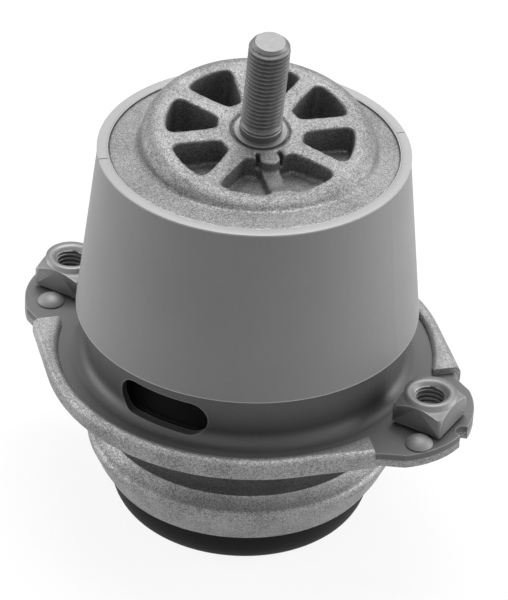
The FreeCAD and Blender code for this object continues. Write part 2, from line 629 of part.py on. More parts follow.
def weld_nut(label, x):
    """Square weld nut with a turned top, sloped corners, a chamfered mouth and four weld feet."""
    body = new_body(label)
    block_top = "(nut_h - nut_collar_h)"
    square = new_sketch(body, "square", height="nut_foot_h")
    half = "nut_side / 2"
    outline(square, [(f"-{half}", f"-{half}"), (half, f"-{half}"), (half, half), (f"-{half}", half)])
    pad(body, "block", square, f"{block_top} - nut_foot_h")
    reach = "(nut_side * 0.76)"
    slope = f"nut_slope_h / ({half} * (sqrt(2) - 1))"
    groove(body, "sloped_corners", [
        (half, block_top), (reach, f"{block_top} - ({reach} - {half}) * {slope}"), (reach, block_top)])
    pad(body, "collar", circle(new_sketch(body, "collar_plan", height=block_top), "nut_collar_r"),
        "nut_collar_h")
    feet = new_sketch(body, "feet")
    for x_side in ("-nut_foot_at", "nut_foot_at"):
        for y_side in ("-nut_foot_at", "nut_foot_at"):
            circle(feet, "nut_foot_r", x_side, y_side)
    pad(body, "weld_feet", feet, "nut_foot_h")
    groove(body, "bore", [
        ("0", "0"), ("thread_minor_r", "0"), ("thread_minor_r", "nut_h - nut_mouth_d"),
        ("nut_mouth_r", "nut_h"), ("0", "nut_h")])
    place(body, x, z="flange_z")


def plate_rivet(label, x):
    """Rivet through both plates: a flat head with a small dome, and a tail spread flush in the lower plate."""
    body = new_body(label)
    head = "2 * plate_t"
    crown = f"{head} + rivet_head_h"
    turn(body, "rivet", [
        ("0", "0"), ("rivet_tail_r", "0"), ("rivet_tail_r", "rivet_tail_h - fit"),
        ("rivet_shank_r", "rivet_tail_h - fit"), ("rivet_shank_r", head), ("rivet_head_r", head),
        ("rivet_head_r", f"{head} + rivet_head_h / 2"), ("rivet_head_r - rivet_head_h / 2", crown),
        ("rivet_dome_r", crown), ("0", f"{crown} + rivet_dome_h")],
        {8: ("(rivet_dome_r^2 + rivet_dome_h^2) / (2 * rivet_dome_h)", 1)})
    place(body, x, "-rivet_y", "lower_plate_foot")


def ports(body, foot, depth):
    """Bores the ring of ports and the centre port through a channel plate."""
    centre = circle(new_sketch(body, "centre_port_plan", height=foot), "port_r")
    pocket(body, "centre_port", centre, depth, reversed_cut=True)
    plan = circle(new_sketch(body, "port_plan", height=foot), "port_r", "port_ring_r")
    pocket(body, "port", plan, depth, reversed_cut=True)
    spread(body, "port_ring", body.Tip, plan, "port_count")


def channel_plate_upper():
    """Upper half of the channel plates, with the inertia track turned into its underside."""
    body = new_body("channel_plate_upper")
    track = "(track_r - track_w / 2)"
    play = "(decoupler_t / 2 + decoupler_play / 2)"
    turn(body, "disc", [
        ("0", f"channel_split + {play}"), ("decoupler_r + decoupler_play", f"channel_split + {play}"),
        ("decoupler_r + decoupler_play", "channel_split"), (track, "channel_split"),
        (track, "channel_split + track_d"), (f"{track} + track_w", "channel_split + track_d"),
        (f"{track} + track_w", "channel_split"), ("channel_r", "channel_split"),
        ("channel_r", "lower_plate_top"), ("0", "lower_plate_top")])
    ports(body, "channel_split", "channel_upper_t")
    mouth = circle(new_sketch(body, "mouth_plan", height="channel_split"), "port_r", "track_r")
    pocket(body, "track_mouth", mouth, "channel_upper_t", reversed_cut=True)


def channel_plate_lower():
    """Lower half of the channel plates, which closes the track and holds the decoupler's seat."""
    body = new_body("channel_plate_lower")
    play = "(decoupler_t / 2 + decoupler_play / 2)"
    turn(body, "disc", [
        ("0", "channel_foot"), ("channel_r", "channel_foot"), ("channel_r", "channel_split"),
        ("decoupler_r + decoupler_play", "channel_split"),
        ("decoupler_r + decoupler_play", f"channel_split - {play}"), ("0", f"channel_split - {play}")])
    ports(body, "channel_foot", "channel_lower_t")
    mouth = circle(new_sketch(body, "mouth_plan", height="channel_foot"), "port_r", "-track_r")
    pocket(body, "track_mouth", mouth, "channel_lower_t", reversed_cut=True)


def decoupler_disc():
    """Rubber disc that floats between the two channel plates."""
    body = new_body("decoupler_disc")
    foot = "(channel_split - decoupler_t / 2 - decoupler_play / 2)"
    turn(body, "disc", [
        ("0", foot), ("decoupler_r", foot), ("decoupler_r", f"{foot} + decoupler_t"),
        ("0", f"{foot} + decoupler_t")])


def diaphragm():
    """Rolling rubber diaphragm that closes the lower chamber."""
    body = new_body("diaphragm")
    neck = "(clamp_ring_in_r - seat)"
    turn(body, "bellows", [
        ("channel_r", "channel_foot"), ("channel_r", "rim_foot"), (neck, "rim_foot"),
        ("bellows_r", "bellows_low"), ("bellows_dome_r + 6", "bellows_low"),
        ("bellows_dome_r", "bellows_dome_z"), ("0", "bellows_dome_z"),
        ("0", "bellows_dome_z + diaphragm_t"), ("bellows_dome_r + 1", "bellows_dome_z + diaphragm_t"),
        ("bellows_dome_r + 7", "bellows_low + diaphragm_t"),
        ("bellows_r - diaphragm_t", "bellows_low + diaphragm_t"),
        (f"{neck} - diaphragm_t", "channel_foot")])


def diaphragm_ring():
    """Ring that presses the diaphragm's rim against the channel plates."""
    body = new_body("diaphragm_ring")
    turn(body, "ring", [
        ("clamp_ring_in_r", "cap_top"), ("channel_r", "cap_top"), ("channel_r", "rim_foot"),
        ("clamp_ring_in_r", "rim_foot")])


def bottom_cap():
    """Moulded cap that stands in the tapered pot, with a rounded lower edge and a vent."""
    body = new_body("bottom_cap")
    cap_r = "(pot_foot_r - pot_t - fit)"
    belly_r = "(bulge_r - pot_t - fit)"
    top_r = "(pot_neck_r - pot_t - fit)"
    turn(body, "cup", [
        ("0", "0"), (f"{cap_r} - cap_round", "0"), (cap_r, "cap_round"), (cap_r, "pot_foot_z"),
        (belly_r, "bulge_foot_z"), (belly_r, "bulge_top_z"), (top_r, "cap_top"),
        (f"{top_r} - cap_t", "cap_top"), (f"{top_r} - cap_t", "bulge_foot_z"),
        (f"{cap_r} - cap_t", "pot_foot_z"), (f"{cap_r} - cap_t", "cap_round"),
        (f"{cap_r} - cap_round", "cap_t"), ("0", "cap_t")],
        {1: ("cap_round", 1)})
    vent = circle(new_sketch(body, "vent_plan"), "cap_vent_r")
    pocket(body, "vent", vent, "cap_t", reversed_cut=True)


def build():
    """Builds every piece of the mount."""
    threaded_stud()
    top_core()
    heat_shield()
    inner_core()
    rebound_plate()
    rebound_buffer()
    rubber_spring()
    spring_foot_ring()
    upper_housing()
    bump_stop_ring()
    lower_bracket()
    channel_plate_upper()
    channel_plate_lower()
    decoupler_disc()
    diaphragm()
    diaphragm_ring()
    bottom_cap()
    for name, side in (("right", ""), ("left", "-")):
        weld_nut(f"weld_nut_{name}", f"{side}nut_x")
        plate_rivet(f"plate_rivet_{name}", f"{side}rivet_{name}_x")


def check_document():
    """Stops when any object failed to build or any piece is not one valid solid."""
    DOC.recompute()
    for thing in DOC.Objects:
        if "Invalid" in thing.State or "Error" in thing.State:
            raise ValueError(f"{thing.Name} failed: {thing.State}")
    for body in DOC.findObjects("PartDesign::Body"):
        shape = body.Shape
        if shape.isNull() or not shape.isValid() or len(shape.Solids) != 1:
            raise ValueError(f"{body.Label} is not one valid solid")


def export():
    """Writes each piece to parts/ under its own name."""
    os.makedirs("parts", exist_ok=True)
    for body in DOC.findObjects("PartDesign::Body"):
        body.Shape.exportStep(f"parts/{body.Label}.step")


DOC = FreeCAD.newDocument("engine_mount")
SHEET = make_sheet(DOC)

if __name__ == "__main__":
    build()
    check_document()
    export()
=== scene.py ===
"""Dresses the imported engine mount: finishes, threads, cast and pressed detail, stage and light."""

import json
import logging
import math
from dataclasses import dataclass
from enum import Enum

import bmesh
import bpy
from bpy.types import Material, Mesh, NodeSocket, NodeTree, Object
from mathutils import Matrix, Vector


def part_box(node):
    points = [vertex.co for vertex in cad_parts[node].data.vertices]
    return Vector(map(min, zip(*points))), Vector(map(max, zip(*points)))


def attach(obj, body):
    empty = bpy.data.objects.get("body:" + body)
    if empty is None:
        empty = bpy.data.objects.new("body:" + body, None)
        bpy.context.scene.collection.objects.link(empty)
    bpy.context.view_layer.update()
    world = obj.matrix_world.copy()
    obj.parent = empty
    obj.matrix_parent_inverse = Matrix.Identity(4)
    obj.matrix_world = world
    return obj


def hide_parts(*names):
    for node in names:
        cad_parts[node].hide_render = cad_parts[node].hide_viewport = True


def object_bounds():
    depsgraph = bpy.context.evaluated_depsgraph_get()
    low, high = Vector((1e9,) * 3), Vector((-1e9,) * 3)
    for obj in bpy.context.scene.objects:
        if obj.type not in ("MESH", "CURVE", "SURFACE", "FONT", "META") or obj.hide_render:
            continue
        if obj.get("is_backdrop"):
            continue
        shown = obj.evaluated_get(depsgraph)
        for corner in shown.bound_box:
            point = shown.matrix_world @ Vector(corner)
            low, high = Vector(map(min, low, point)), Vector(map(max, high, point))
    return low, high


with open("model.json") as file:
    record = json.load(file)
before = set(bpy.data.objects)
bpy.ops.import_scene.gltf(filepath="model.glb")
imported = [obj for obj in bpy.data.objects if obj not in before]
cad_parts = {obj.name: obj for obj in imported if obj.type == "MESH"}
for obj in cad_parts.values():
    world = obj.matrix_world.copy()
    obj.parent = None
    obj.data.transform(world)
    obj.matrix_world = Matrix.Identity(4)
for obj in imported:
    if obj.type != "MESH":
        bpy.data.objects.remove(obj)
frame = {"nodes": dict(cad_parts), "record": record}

LOG = logging.getLogger("engine_mount")
MM = 0.001
BODY = "root"
JOIN = 0.000001  # metres within which two corners are one
SHARP = 35.0  # degrees between faces past which an edge stays sharp


class Node(Enum):
    """CAD nodes that a piece is set out from or stands for."""

    STUD = "threaded_stud"
    NUT_RIGHT = "weld_nut_right"
    NUT_LEFT = "weld_nut_left"
    SHIELD = "heat_shield"
    HEAD = "top_core"
    BRACKET = "lower_bracket"
    CAP = "bottom_cap"
    RIVET_RIGHT = "plate_rivet_right"
    RIVET_LEFT = "plate_rivet_left"


class Texture(Enum):
    """Shared effect that a finish takes its tones and relief from."""

    SPECKLE = "speckle"
    FILM = "film"


# ---------------------------------------------------------------- node trees


class Wiring:
    """Adds and links the nodes of one tree."""

    def __init__(self, tree: NodeTree) -> None:
        """Starts wiring a tree.

        Args:
            tree: The shader or geometry tree to fill.
        """
        self.tree = tree

    def add(self, kind: str, settings: dict[str, object] | None = None, **values: object) -> bpy.types.Node:
        """Adds a node.

        Args:
            kind: The node's bl_idname.
            settings: Properties of the node itself.
            **values: Default values or sources of its inputs, with _ for a blank in the input's name.

        Returns:
            The new node.
        """
        node = self.tree.nodes.new(kind)
        for name, value in (settings or {}).items():
            setattr(node, name, value)
        for name, value in values.items():
            self.feed(node, name.replace("_", " "), value)
        return node

    def feed(self, node: bpy.types.Node, name: str | int, value: object) -> None:
        """Sets an input of a node, or links another node's output to it.

        Args:
            node: The node to feed.
            name: The input's name or number.
            value: A plain value, or an output socket.
        """
        if isinstance(value, NodeSocket):
            self.tree.links.new(value, node.inputs[name])
        else:
            node.inputs[name].default_value = value

    def math(self, operation: str, first: object, second: object = 0.0) -> NodeSocket:
        """Adds a maths node and returns its output.

        Args:
            operation: The operation's name.
            first: First value or socket.
            second: Second value or socket.

        Returns:
            The result's socket.
        """
        node = self.add("ShaderNodeMath", {"operation": operation})
        self.feed(node, 0, first)
        self.feed(node, 1, second)
        return node.outputs[0]

    def plus(self, first: object, second: object) -> NodeSocket:
        """Adds two values."""
        return self.math("ADD", first, second)

    def minus(self, first: object, second: object) -> NodeSocket:
        """Takes the second value from the first."""
        return self.math("SUBTRACT", first, second)

    def times(self, first: object, second: object) -> NodeSocket:
        """Multiplies two values."""
        return self.math("MULTIPLY", first, second)

    def polar(self, radius: NodeSocket, angle: NodeSocket, height: NodeSocket) -> NodeSocket:
        """Makes a place from a radius, an angle and a height.

        Args:
            radius: Distance from the axis.
            angle: Radians round the axis.
            height: Height along the axis.

        Returns:
            The place's socket.
        """
        spot = self.add("ShaderNodeCombineXYZ", None, X=self.times(radius, self.math("COSINE", angle)),
                        Y=self.times(radius, self.math("SINE", angle)), Z=height)
        return spot.outputs[0]

    def remap(self, value: object, low: float, high: float, to_low: float, to_high: float) -> NodeSocket:
        """Maps a range of values onto another, held at its ends.

        Args:
            value: The socket to map.
            low: Start of the range.
            high: End of the range.
            to_low: What the start becomes.
            to_high: What the end becomes.

        Returns:
            The result's socket.
        """
        node = self.add("ShaderNodeMapRange", None, Value=value)
        for index, bound in enumerate((low, high, to_low, to_high), start=1):
            node.inputs[index].default_value = bound
        return node.outputs[0]

    def blend(self, factor: object, first: object, second: object) -> NodeSocket:
        """Mixes two colours.

        Args:
            factor: Share of the second colour.
            first: First colour or socket.
            second: Second colour or socket.

        Returns:
            The mixed colour's socket.
        """
        node = self.add("ShaderNodeMix", {"data_type": "RGBA"})
        self.feed(node, 0, factor)
        self.feed(node, 6, first)
        self.feed(node, 7, second)
        return node.outputs[2]


def grey(level: float) -> tuple[float, float, float, float]:
    """A neutral colour of one linear level."""
    return (level, level, level, 1.0)


Ends = tuple[Wiring, dict, bpy.types.Node]


def ends(tree: NodeTree) -> Ends:
    """Gives a tree's wiring, its input sockets by name, and its output node.

    Args:
        tree: The tree, with its inputs and outputs named.

    Returns:
        The three of them.
    """
    wiring = Wiring(tree)
    entry = wiring.add("NodeGroupInput")
    leave = wiring.add("NodeGroupOutput")
    return wiring, {socket.name: socket for socket in entry.outputs if socket.name}, leave


def shader_group(name: str, inputs: dict[str, float], outputs: dict[str, str]) -> Ends:
    """Makes an empty shader node group.

    Args:
        name: The group's name.
        inputs: Names and default values of its float inputs.
        outputs: Names and socket types of its outputs.

    Returns:
        Its wiring, its input sockets by name, and its output node.
    """
    tree = bpy.data.node_groups.new(name, "ShaderNodeTree")
    for label, value in inputs.items():
        socket = tree.interface.new_socket(label, in_out="INPUT", socket_type="NodeSocketFloat")
        socket.default_value = value
    for label, kind in outputs.items():
        tree.interface.new_socket(label, in_out="OUTPUT", socket_type=kind)
    return ends(tree)


def effect_group(name: str) -> Ends:
    """Makes an empty group with the inputs and outputs that every surface effect has.

    Args:
        name: The group's name.

    Returns:
        Its wiring, its input sockets by name, and its output node.
    """
    return shader_group(name, {"Grains": 900.0, "Contrast": 1.0, "Patch": 25.0},
                        {"Tone": "NodeSocketFloat", "Height": "NodeSocketFloat"})


def speckle_group() -> NodeTree:
    """Facets of a shot-blasted or galvanised surface: a random tone and height for each small grain.

    Returns:
        The group.
    """
    wiring, given, leave = effect_group("speckle")
    place = wiring.add("ShaderNodeTexCoord").outputs["Object"]
    cells = wiring.add("ShaderNodeTexVoronoi", None, Vector=place, Scale=given["Grains"])
    split = wiring.add("ShaderNodeSeparateColor", None, Color=cells.outputs["Color"])
    fine = wiring.add("ShaderNodeTexNoise", None, Vector=place, Detail=3.0, Roughness=0.7)
    wiring.feed(fine, "Scale", wiring.times(given["Grains"], 0.8))
    patch = wiring.add("ShaderNodeTexNoise", None, Vector=place, Scale=given["Patch"], Detail=3.0)
    raw = wiring.plus(wiring.times(split.outputs[0], 0.65),
                      wiring.times(fine.outputs[0], 0.7))
    swing = wiring.times(wiring.minus(raw, 0.67), given["Contrast"])
    drift = wiring.times(wiring.minus(patch.outputs[0], 0.5), 0.6)
    tone = wiring.plus(wiring.plus(swing, 0.5), wiring.times(drift, given["Contrast"]))
    wiring.feed(leave, "Tone", tone)
    rough = wiring.times(fine.outputs[0], 1.5)
    wiring.feed(leave, "Height", wiring.plus(split.outputs[1], rough))
    return wiring.tree


def smudge_group() -> NodeTree:
    """Soft uneven film, as handling and oil leave on sheet metal and rubber.

    Returns:
        The group.
    """
    wiring, given, leave = effect_group("smudge")
    place = wiring.add("ShaderNodeTexCoord").outputs["Object"]
    broad = wiring.add("ShaderNodeTexNoise", None, Vector=place, Scale=given["Patch"], Detail=6.0,
                       Roughness=0.6)
    grain = wiring.add("ShaderNodeTexNoise", None, Vector=place, Scale=given["Grains"], Detail=2.0)
    film = wiring.add("ShaderNodeMix", None)
    wiring.feed(film, 0, 0.25)
    wiring.feed(film, 2, broad.outputs[0])
    wiring.feed(film, 3, grain.outputs[0])
    swing = wiring.times(wiring.minus(film.outputs[0], 0.5), given["Contrast"])
    wiring.feed(leave, "Tone", wiring.plus(swing, 0.5))
    wiring.feed(leave, "Height", grain.outputs[0])
    return wiring.tree


def edge_group() -> NodeTree:
    """Mask of the edges, where a coating thins and metal is rubbed bright.

    Returns:
        The group.
    """
    wiring, given, leave = shader_group("edge_wear", {"Width": 0.0006, "Reach": 6.0},
                                        {"Mask": "NodeSocketFloat"})
    rounded = wiring.add("ShaderNodeBevel", {"samples": 4}, Radius=given["Width"])
    plain = wiring.add("ShaderNodeNewGeometry")
    facing = wiring.add("ShaderNodeVectorMath", {"operation": "DOT_PRODUCT"})
    wiring.feed(facing, 0, rounded.outputs[0])
    wiring.feed(facing, 1, plain.outputs["Normal"])
    turned = wiring.minus(1.0, facing.outputs["Value"])
    mask = wiring.add("ShaderNodeClamp", None, Value=wiring.times(turned, given["Reach"]))
    wiring.feed(leave, "Mask", mask.outputs[0])
    return wiring.tree


class Effects:
    """The node groups that the finishes share, each made once."""

    def __init__(self) -> None:
        """Makes the groups."""
        self.groups = {Texture.SPECKLE: speckle_group(), Texture.FILM: smudge_group()}
        self.edge = edge_group()


# ---------------------------------------------------------------- finishes


@dataclass(frozen=True)
class Finish:
    """A surface: its tone, how it shines, and how much each shared effect shows.

    Attributes:
        name: Name of the material.
        slot: Key of the finish, which is the record's material slot where it dresses a CAD node.
        dark: Tone of its darkest grains.
        light: Tone of its lightest grains.
        metallic: Share of metal in the shader.
        roughness: Roughness at its smoothest.
        rough_spread: How much rougher its dull places are.
        texture: Shared effect that its tones and relief come from.
        grains: Grains per metre.
        contrast: How strongly the grains differ.
        patch: Soft patches per metre.
        relief: Height of the grains in metres.
        worn: Tone of rubbed edges, or None.
        shine: Strength of its plain reflection.
    """

    name: str
    slot: str
    dark: float
    light: float
    metallic: float = 1.0
    roughness: float = 0.35
    rough_spread: float = 0.15
    texture: Texture = Texture.FILM
    grains: float = 900.0
    contrast: float = 1.0
    patch: float = 25.0
    relief: float = 0.000006
    worn: float | None = None
    shine: float = 0.5

    def build(self, effects: Effects) -> Material:
        """Builds the material.

        Args:
            effects: The shared node groups.

        Returns:
            The material.
        """
        material = bpy.data.materials.new(self.name)
        material.use_nodes = True
        wiring = Wiring(material.node_tree)
        shader = material.node_tree.nodes["Principled BSDF"]
        effect = wiring.add("ShaderNodeGroup", {"node_tree": effects.groups[self.texture]})
        effect.inputs["Grains"].default_value = self.grains
        effect.inputs["Contrast"].default_value = self.contrast
        effect.inputs["Patch"].default_value = self.patch
        tone = effect.outputs[0]
        colour = wiring.blend(tone, grey(self.dark), grey(self.light))
        if self.worn is not None:
            edge = wiring.add("ShaderNodeGroup", {"node_tree": effects.edge})
            colour = wiring.blend(edge.outputs[0], colour, grey(self.worn))
        bump = wiring.add("ShaderNodeBump", None, Height=effect.outputs["Height"], Distance=self.relief)
        wiring.feed(shader, "Base Color", colour)
        wiring.feed(shader, "Roughness", wiring.remap(
            tone, 0.2, 0.8, self.roughness + self.rough_spread, self.roughness))
        wiring.feed(shader, "Normal", bump.outputs[0])
        shader.inputs["Metallic"].default_value = self.metallic
        shader.inputs["Specular IOR Level"].default_value = self.shine
        return material


class Finishes:
    """Every finish of the mount, by its key: a material slot of the record, or a piece of the scene."""

    CAST = Finish("cast_alloy_blasted", "cast_alloy", 0.04, 0.3, 0.75, 0.45, 0.2, Texture.SPECKLE,
                  grains=3400.0, contrast=0.85, patch=70.0, relief=0.00007)
    SHIELD = Finish("shield_satin", "shield_sheet", 0.15, 0.2, 0.0, 0.42, 0.1, relief=0.000002, worn=0.5)
    ROLLED = Finish("rolled_thread", "stud_steel", 0.08, 0.2, 0.8, 0.42, 0.15)
    TURNED = Finish("turned_steel", "turned_steel", 0.12, 0.2, 0.7, 0.5)
    RUBBER = Finish("moulded_rubber", "rubber_black", 0.003, 0.006, 0.0, 0.7, 0.2, relief=0.00002,
                    shine=0.15)
    HOUSING = Finish("phosphated_sheet", "housing_sheet", 0.07, 0.11, 0.4, 0.42, 0.15, worn=0.25)
    ZINC = Finish("spangled_zinc", "zinc_sheet", 0.06, 0.42, 0.8, 0.4, 0.2, Texture.SPECKLE,
                  grains=3400.0, contrast=0.8, patch=90.0, relief=0.00007)
    NUT = Finish("plain_nut_steel", "nut_steel", 0.14, 0.22, 0.6, 0.4, 0.15, relief=0.00001, worn=0.4)
    RIVET = Finish("plain_rivet_steel", "rivet_steel", 0.14, 0.22, 0.5, 0.5, 0.15, relief=0.00001)
    DIE_CAST = Finish("die_cast_plate", "die_cast_plate", 0.4, 0.6, 1.0, 0.4)
    # painted shade: a dark copy of the zinc for the neck band, standing in for the shade in the recess under the
    # hem
    NECK_PAINTED_SHADE = Finish("zinc_painted_shade", "zinc_painted_shade", 0.015, 0.09, 0.6, 0.5, 0.2, Texture.SPECKLE,
                  grains=3400.0, contrast=0.8, patch=90.0, relief=0.00005)
    # inner parts seen through the housing's slot: black rubber, partly their rubber skin and partly painted
    # shade for the slot's dark interior
    COATED_AND_SLOT_SHADED = ("spring_foot_ring", "inner_core", "rebound_plate")
    CAP = Finish("moulded_cap", "cap_plastic", 0.005, 0.008, 0.0, 0.5, 0.15, shine=0.12)
    # painted light: the rim is the shield's own sheet, given a lighter tone because its top faces the light from
    # above
    RIM_PAINTED_TOPLIGHT = Finish("shield_rim_painted_toplight", "shield_rim", 0.24, 0.32, 0.0, 0.42, 0.1, relief=0.000002)

    def __init__(self, effects: Effects) -> None:
        """Builds every finish.

        Args:
            effects: The shared node groups.
        """
        known = [value for value in vars(type(self)).values() if isinstance(value, Finish)]
        self.materials = {finish.slot: finish.build(effects) for finish in known}

    def dress_nodes(self) -> None:
        """Gives every CAD node the finish of its own slot in the record; the inner parts seen through the slot
        get black rubber, partly a rubber skin and partly painted shade.
        """
        for subpart in frame["record"]["subparts"]:
            node = frame["nodes"][subpart["node"]]
            material = self.materials[subpart["material_slot"]]
            # black rubber here is partly a rubber skin and partly painted shade inside the slot
            if subpart["node"] in self.COATED_AND_SLOT_SHADED:
                material = self.materials["rubber_black"]
            for slot in node.material_slots:
                slot.material = material
            LOG.info("%s: %s", node.name, material.name)


# ---------------------------------------------------------------- geometry trees


def geometry_group(name: str, inputs: dict[str, str]) -> Ends:
    """Makes an empty geometry tree for a modifier.

    Args:
        name: The tree's name.
        inputs: Names and kinds of its inputs, such as Float or Vector; Material is added.

    Returns:
        Its wiring, its input sockets by name, and its output node.
    """
    tree = bpy.data.node_groups.new(name, "GeometryNodeTree")
    tree.is_modifier = True
    for label, kind in {**inputs, "Material": "Material"}.items():
        tree.interface.new_socket(label, in_out="INPUT", socket_type=f"NodeSocket{kind}")
    tree.interface.new_socket("Geometry", in_out="OUTPUT", socket_type="NodeSocketGeometry")
    return ends(tree)


def end_tree(wiring: Wiring, shape: NodeSocket, given: dict, leave: bpy.types.Node) -> NodeTree:
    """Ends a geometry tree in real geometry with its material.

    Args:
        wiring: The tree's wiring.
        shape: Socket of the finished geometry.
        given: The tree's input sockets by name.
        leave: The tree's output node.

    Returns:
        The tree.
    """
    real = wiring.add("GeometryNodeRealizeInstances", None, Geometry=shape)
    dressed = wiring.add("GeometryNodeSetMaterial", None, Geometry=real.outputs[0],
                         Material=given["Material"])
    wiring.feed(leave, "Geometry", dressed.outputs[0])
    return wiring.tree


def grow(name: str, tree: NodeTree, **values: object) -> Object:
    """Runs a geometry tree and keeps what it makes as a plain mesh.

    Args:
        name: Name of the new piece.
        tree: The geometry tree.
        **values: The tree's inputs, with _ for a blank in the input's name.

    Returns:
        The piece's object.
    """
    empty = bpy.data.meshes.new(f"{name}_seed")
    seed = piece_of(f"{name}_seed", empty)
    modifier = seed.modifiers.new("shape", "NODES")
    modifier.node_group = tree
    sockets = {item.name: item.identifier for item in tree.interface.items_tree if item.in_out == "INPUT"}
    for label, value in values.items():
        modifier[sockets[label.replace("_", " ")]] = value
    grown = bpy.data.meshes.new_from_object(seed.evaluated_get(bpy.context.evaluated_depsgraph_get()))
    bpy.data.objects.remove(seed)
    bpy.data.meshes.remove(empty)
    return piece_of(name, grown)


def piece_of(name: str, data: bpy.types.ID) -> Object:
    """Puts a mesh, a lamp or a camera into the scene.

    Args:
        name: Its name.
        data: The mesh, lamp or camera.

    Returns:
        Its object.
    """
    data.name = name
    piece = bpy.data.objects.new(name, data)
    bpy.context.collection.objects.link(piece)
    return piece


def thread_tree() -> NodeTree:
    """Screw thread along an axis: a grid wound round it, whose radius follows the thread's rule.

    Returns:
        The tree.
    """
    wiring, given, leave = geometry_group("thread", {
        "Length": "Float", "Pitch": "Float", "Crest": "Float", "Root": "Float", "Run Out": "Float",
        "Bevel": "Float", "Around": "Int", "Rows": "Int", "Place": "Vector", "Lean": "Vector"})
    grid = wiring.add("GeometryNodeMeshGrid", None, Size_X=1.0, Size_Y=1.0)
    wiring.feed(grid, "Vertices X", wiring.plus(given["Around"], 1.0))
    wiring.feed(grid, "Vertices Y", given["Rows"])
    here = wiring.add("GeometryNodeInputPosition").outputs[0]
    spot = wiring.add("ShaderNodeSeparateXYZ", None, Vector=here)
    turn = wiring.plus(spot.outputs["X"], 0.5)
    last = wiring.minus(given["Rows"], 1.0)
    row = wiring.times(wiring.plus(spot.outputs["Y"], 0.5), last)
    inner_rows = wiring.minus(last, 2.0)
    share = wiring.math("DIVIDE", wiring.minus(row, 1.0), inner_rows)
    share = wiring.math("MAXIMUM", wiring.math("MINIMUM", share, 1.0), 0.0)
    height = wiring.times(share, given["Length"])
    # share of the thread's depth: 0 on the root's flat, 1 on the crest's flat, straight flanks between
    phase = wiring.math("FRACT", wiring.minus(wiring.math("DIVIDE", height, given["Pitch"]), turn))
    ramp = wiring.times(wiring.math("ABSOLUTE", wiring.minus(phase, 0.5)), 2.0)
    stand = wiring.remap(ramp, 0.25, 0.875, 0.0, 1.0)
    fade = wiring.math("MINIMUM", wiring.math("DIVIDE", height, given["Run Out"]), 1.0)
    sunk = wiring.times(wiring.minus(1.0, stand), fade)
    depth = wiring.minus(given["Crest"], given["Root"])
    radius = wiring.minus(given["Crest"], wiring.times(sunk, depth))
    to_tip = wiring.minus(given["Length"], height)
    cone = wiring.plus(wiring.minus(given["Crest"], given["Bevel"]), to_tip)
    radius = wiring.math("MINIMUM", radius, cone)
    first_row = wiring.math("GREATER_THAN", row, 0.5)
    before_last = wiring.math("LESS_THAN", row, wiring.minus(last, 0.5))
    radius = wiring.times(radius, wiring.times(first_row, before_last))
    angle = wiring.times(turn, math.tau)
    screw = wiring.add("GeometryNodeSetPosition", None, Geometry=grid.outputs["Mesh"],
                       Position=wiring.polar(radius, angle, height))
    closed = wiring.add("GeometryNodeMergeByDistance", None, Geometry=screw.outputs[0], Distance=0.00001)
    edge = wiring.add("GeometryNodeInputMeshEdgeAngle")
    smooth = wiring.add("GeometryNodeSetShadeSmooth", {"domain": "EDGE"}, Geometry=closed.outputs[0],
                        Shade_Smooth=wiring.math("LESS_THAN", edge.outputs["Unsigned Angle"], 0.6))
    placed = wiring.add("GeometryNodeTransform", None, Geometry=smooth.outputs[0],
                        Translation=given["Place"], Rotation=given["Lean"])
    return end_tree(wiring, placed.outputs[0], given, leave)


def pocket_tree() -> NodeTree:
    """Ring of drafted, round-cornered wedges that are cut out of the hub between its spokes.

    Returns:
        The tree.
    """
    wiring, given, leave = geometry_group("pockets", {
        "Count": "Int", "Inner": "Float", "Outer": "Float", "Spoke": "Float", "Depth": "Float",
        "Draft": "Float", "Squareness": "Float", "Place": "Vector", "Lean": "Vector"})
    block = wiring.add("GeometryNodeMeshCylinder", None, Vertices=64, Radius=1.0, Depth=2.0)
    here = wiring.add("GeometryNodeInputPosition").outputs[0]
    spot = wiring.add("ShaderNodeSeparateXYZ", None, Vector=here)
    # the round section becomes a rounded square, and is drawn in toward the foot
    power = wiring.math("DIVIDE", 2.0, given["Squareness"])
    size = wiring.plus(1.0, wiring.times(spot.outputs["Z"], given["Draft"]))
    sides = []
    for side in ("X", "Y"):
        reach = wiring.math("POWER", wiring.math("ABSOLUTE", spot.outputs[side]), power)
        reach = wiring.times(reach, wiring.math("SIGN", spot.outputs[side]))
        sides.append(wiring.times(reach, size))
    out, across = sides
    mean = wiring.times(wiring.plus(given["Inner"], given["Outer"]), 0.5)
    half = wiring.times(wiring.minus(given["Outer"], given["Inner"]), 0.5)
    radius = wiring.plus(mean, wiring.times(out, half))
    sector = wiring.math("DIVIDE", math.pi, given["Count"])
    half_spoke = wiring.times(given["Spoke"], 0.5)
    spoke = wiring.math("ARCSINE", wiring.math("DIVIDE", half_spoke, radius))
    angle = wiring.times(across, wiring.minus(sector, spoke))
    height = wiring.times(spot.outputs["Z"], given["Depth"])
    wedge = wiring.add("GeometryNodeSetPosition", None, Geometry=block.outputs["Mesh"],
                       Position=wiring.polar(radius, angle, height))
    points = wiring.add("GeometryNodePoints", None, Count=given["Count"])
    number = wiring.add("GeometryNodeInputIndex")
    step = wiring.times(wiring.plus(number.outputs[0], 0.5),
                       wiring.times(sector, 2.0))
    ring = wiring.add("GeometryNodeInstanceOnPoints", None, Points=points.outputs[0],
                      Instance=wedge.outputs[0],
                      Rotation=wiring.add("ShaderNodeCombineXYZ", None, Z=step).outputs[0])
    placed = wiring.add("GeometryNodeTransform", None, Geometry=ring.outputs[0],
                        Translation=given["Place"], Rotation=given["Lean"])
    return end_tree(wiring, placed.outputs[0], given, leave)


# ---------------------------------------------------------------- pieces


class Cut(Enum):
    """How one solid is combined with another."""

    LESS = "DIFFERENCE"
    JOINED = "UNION"


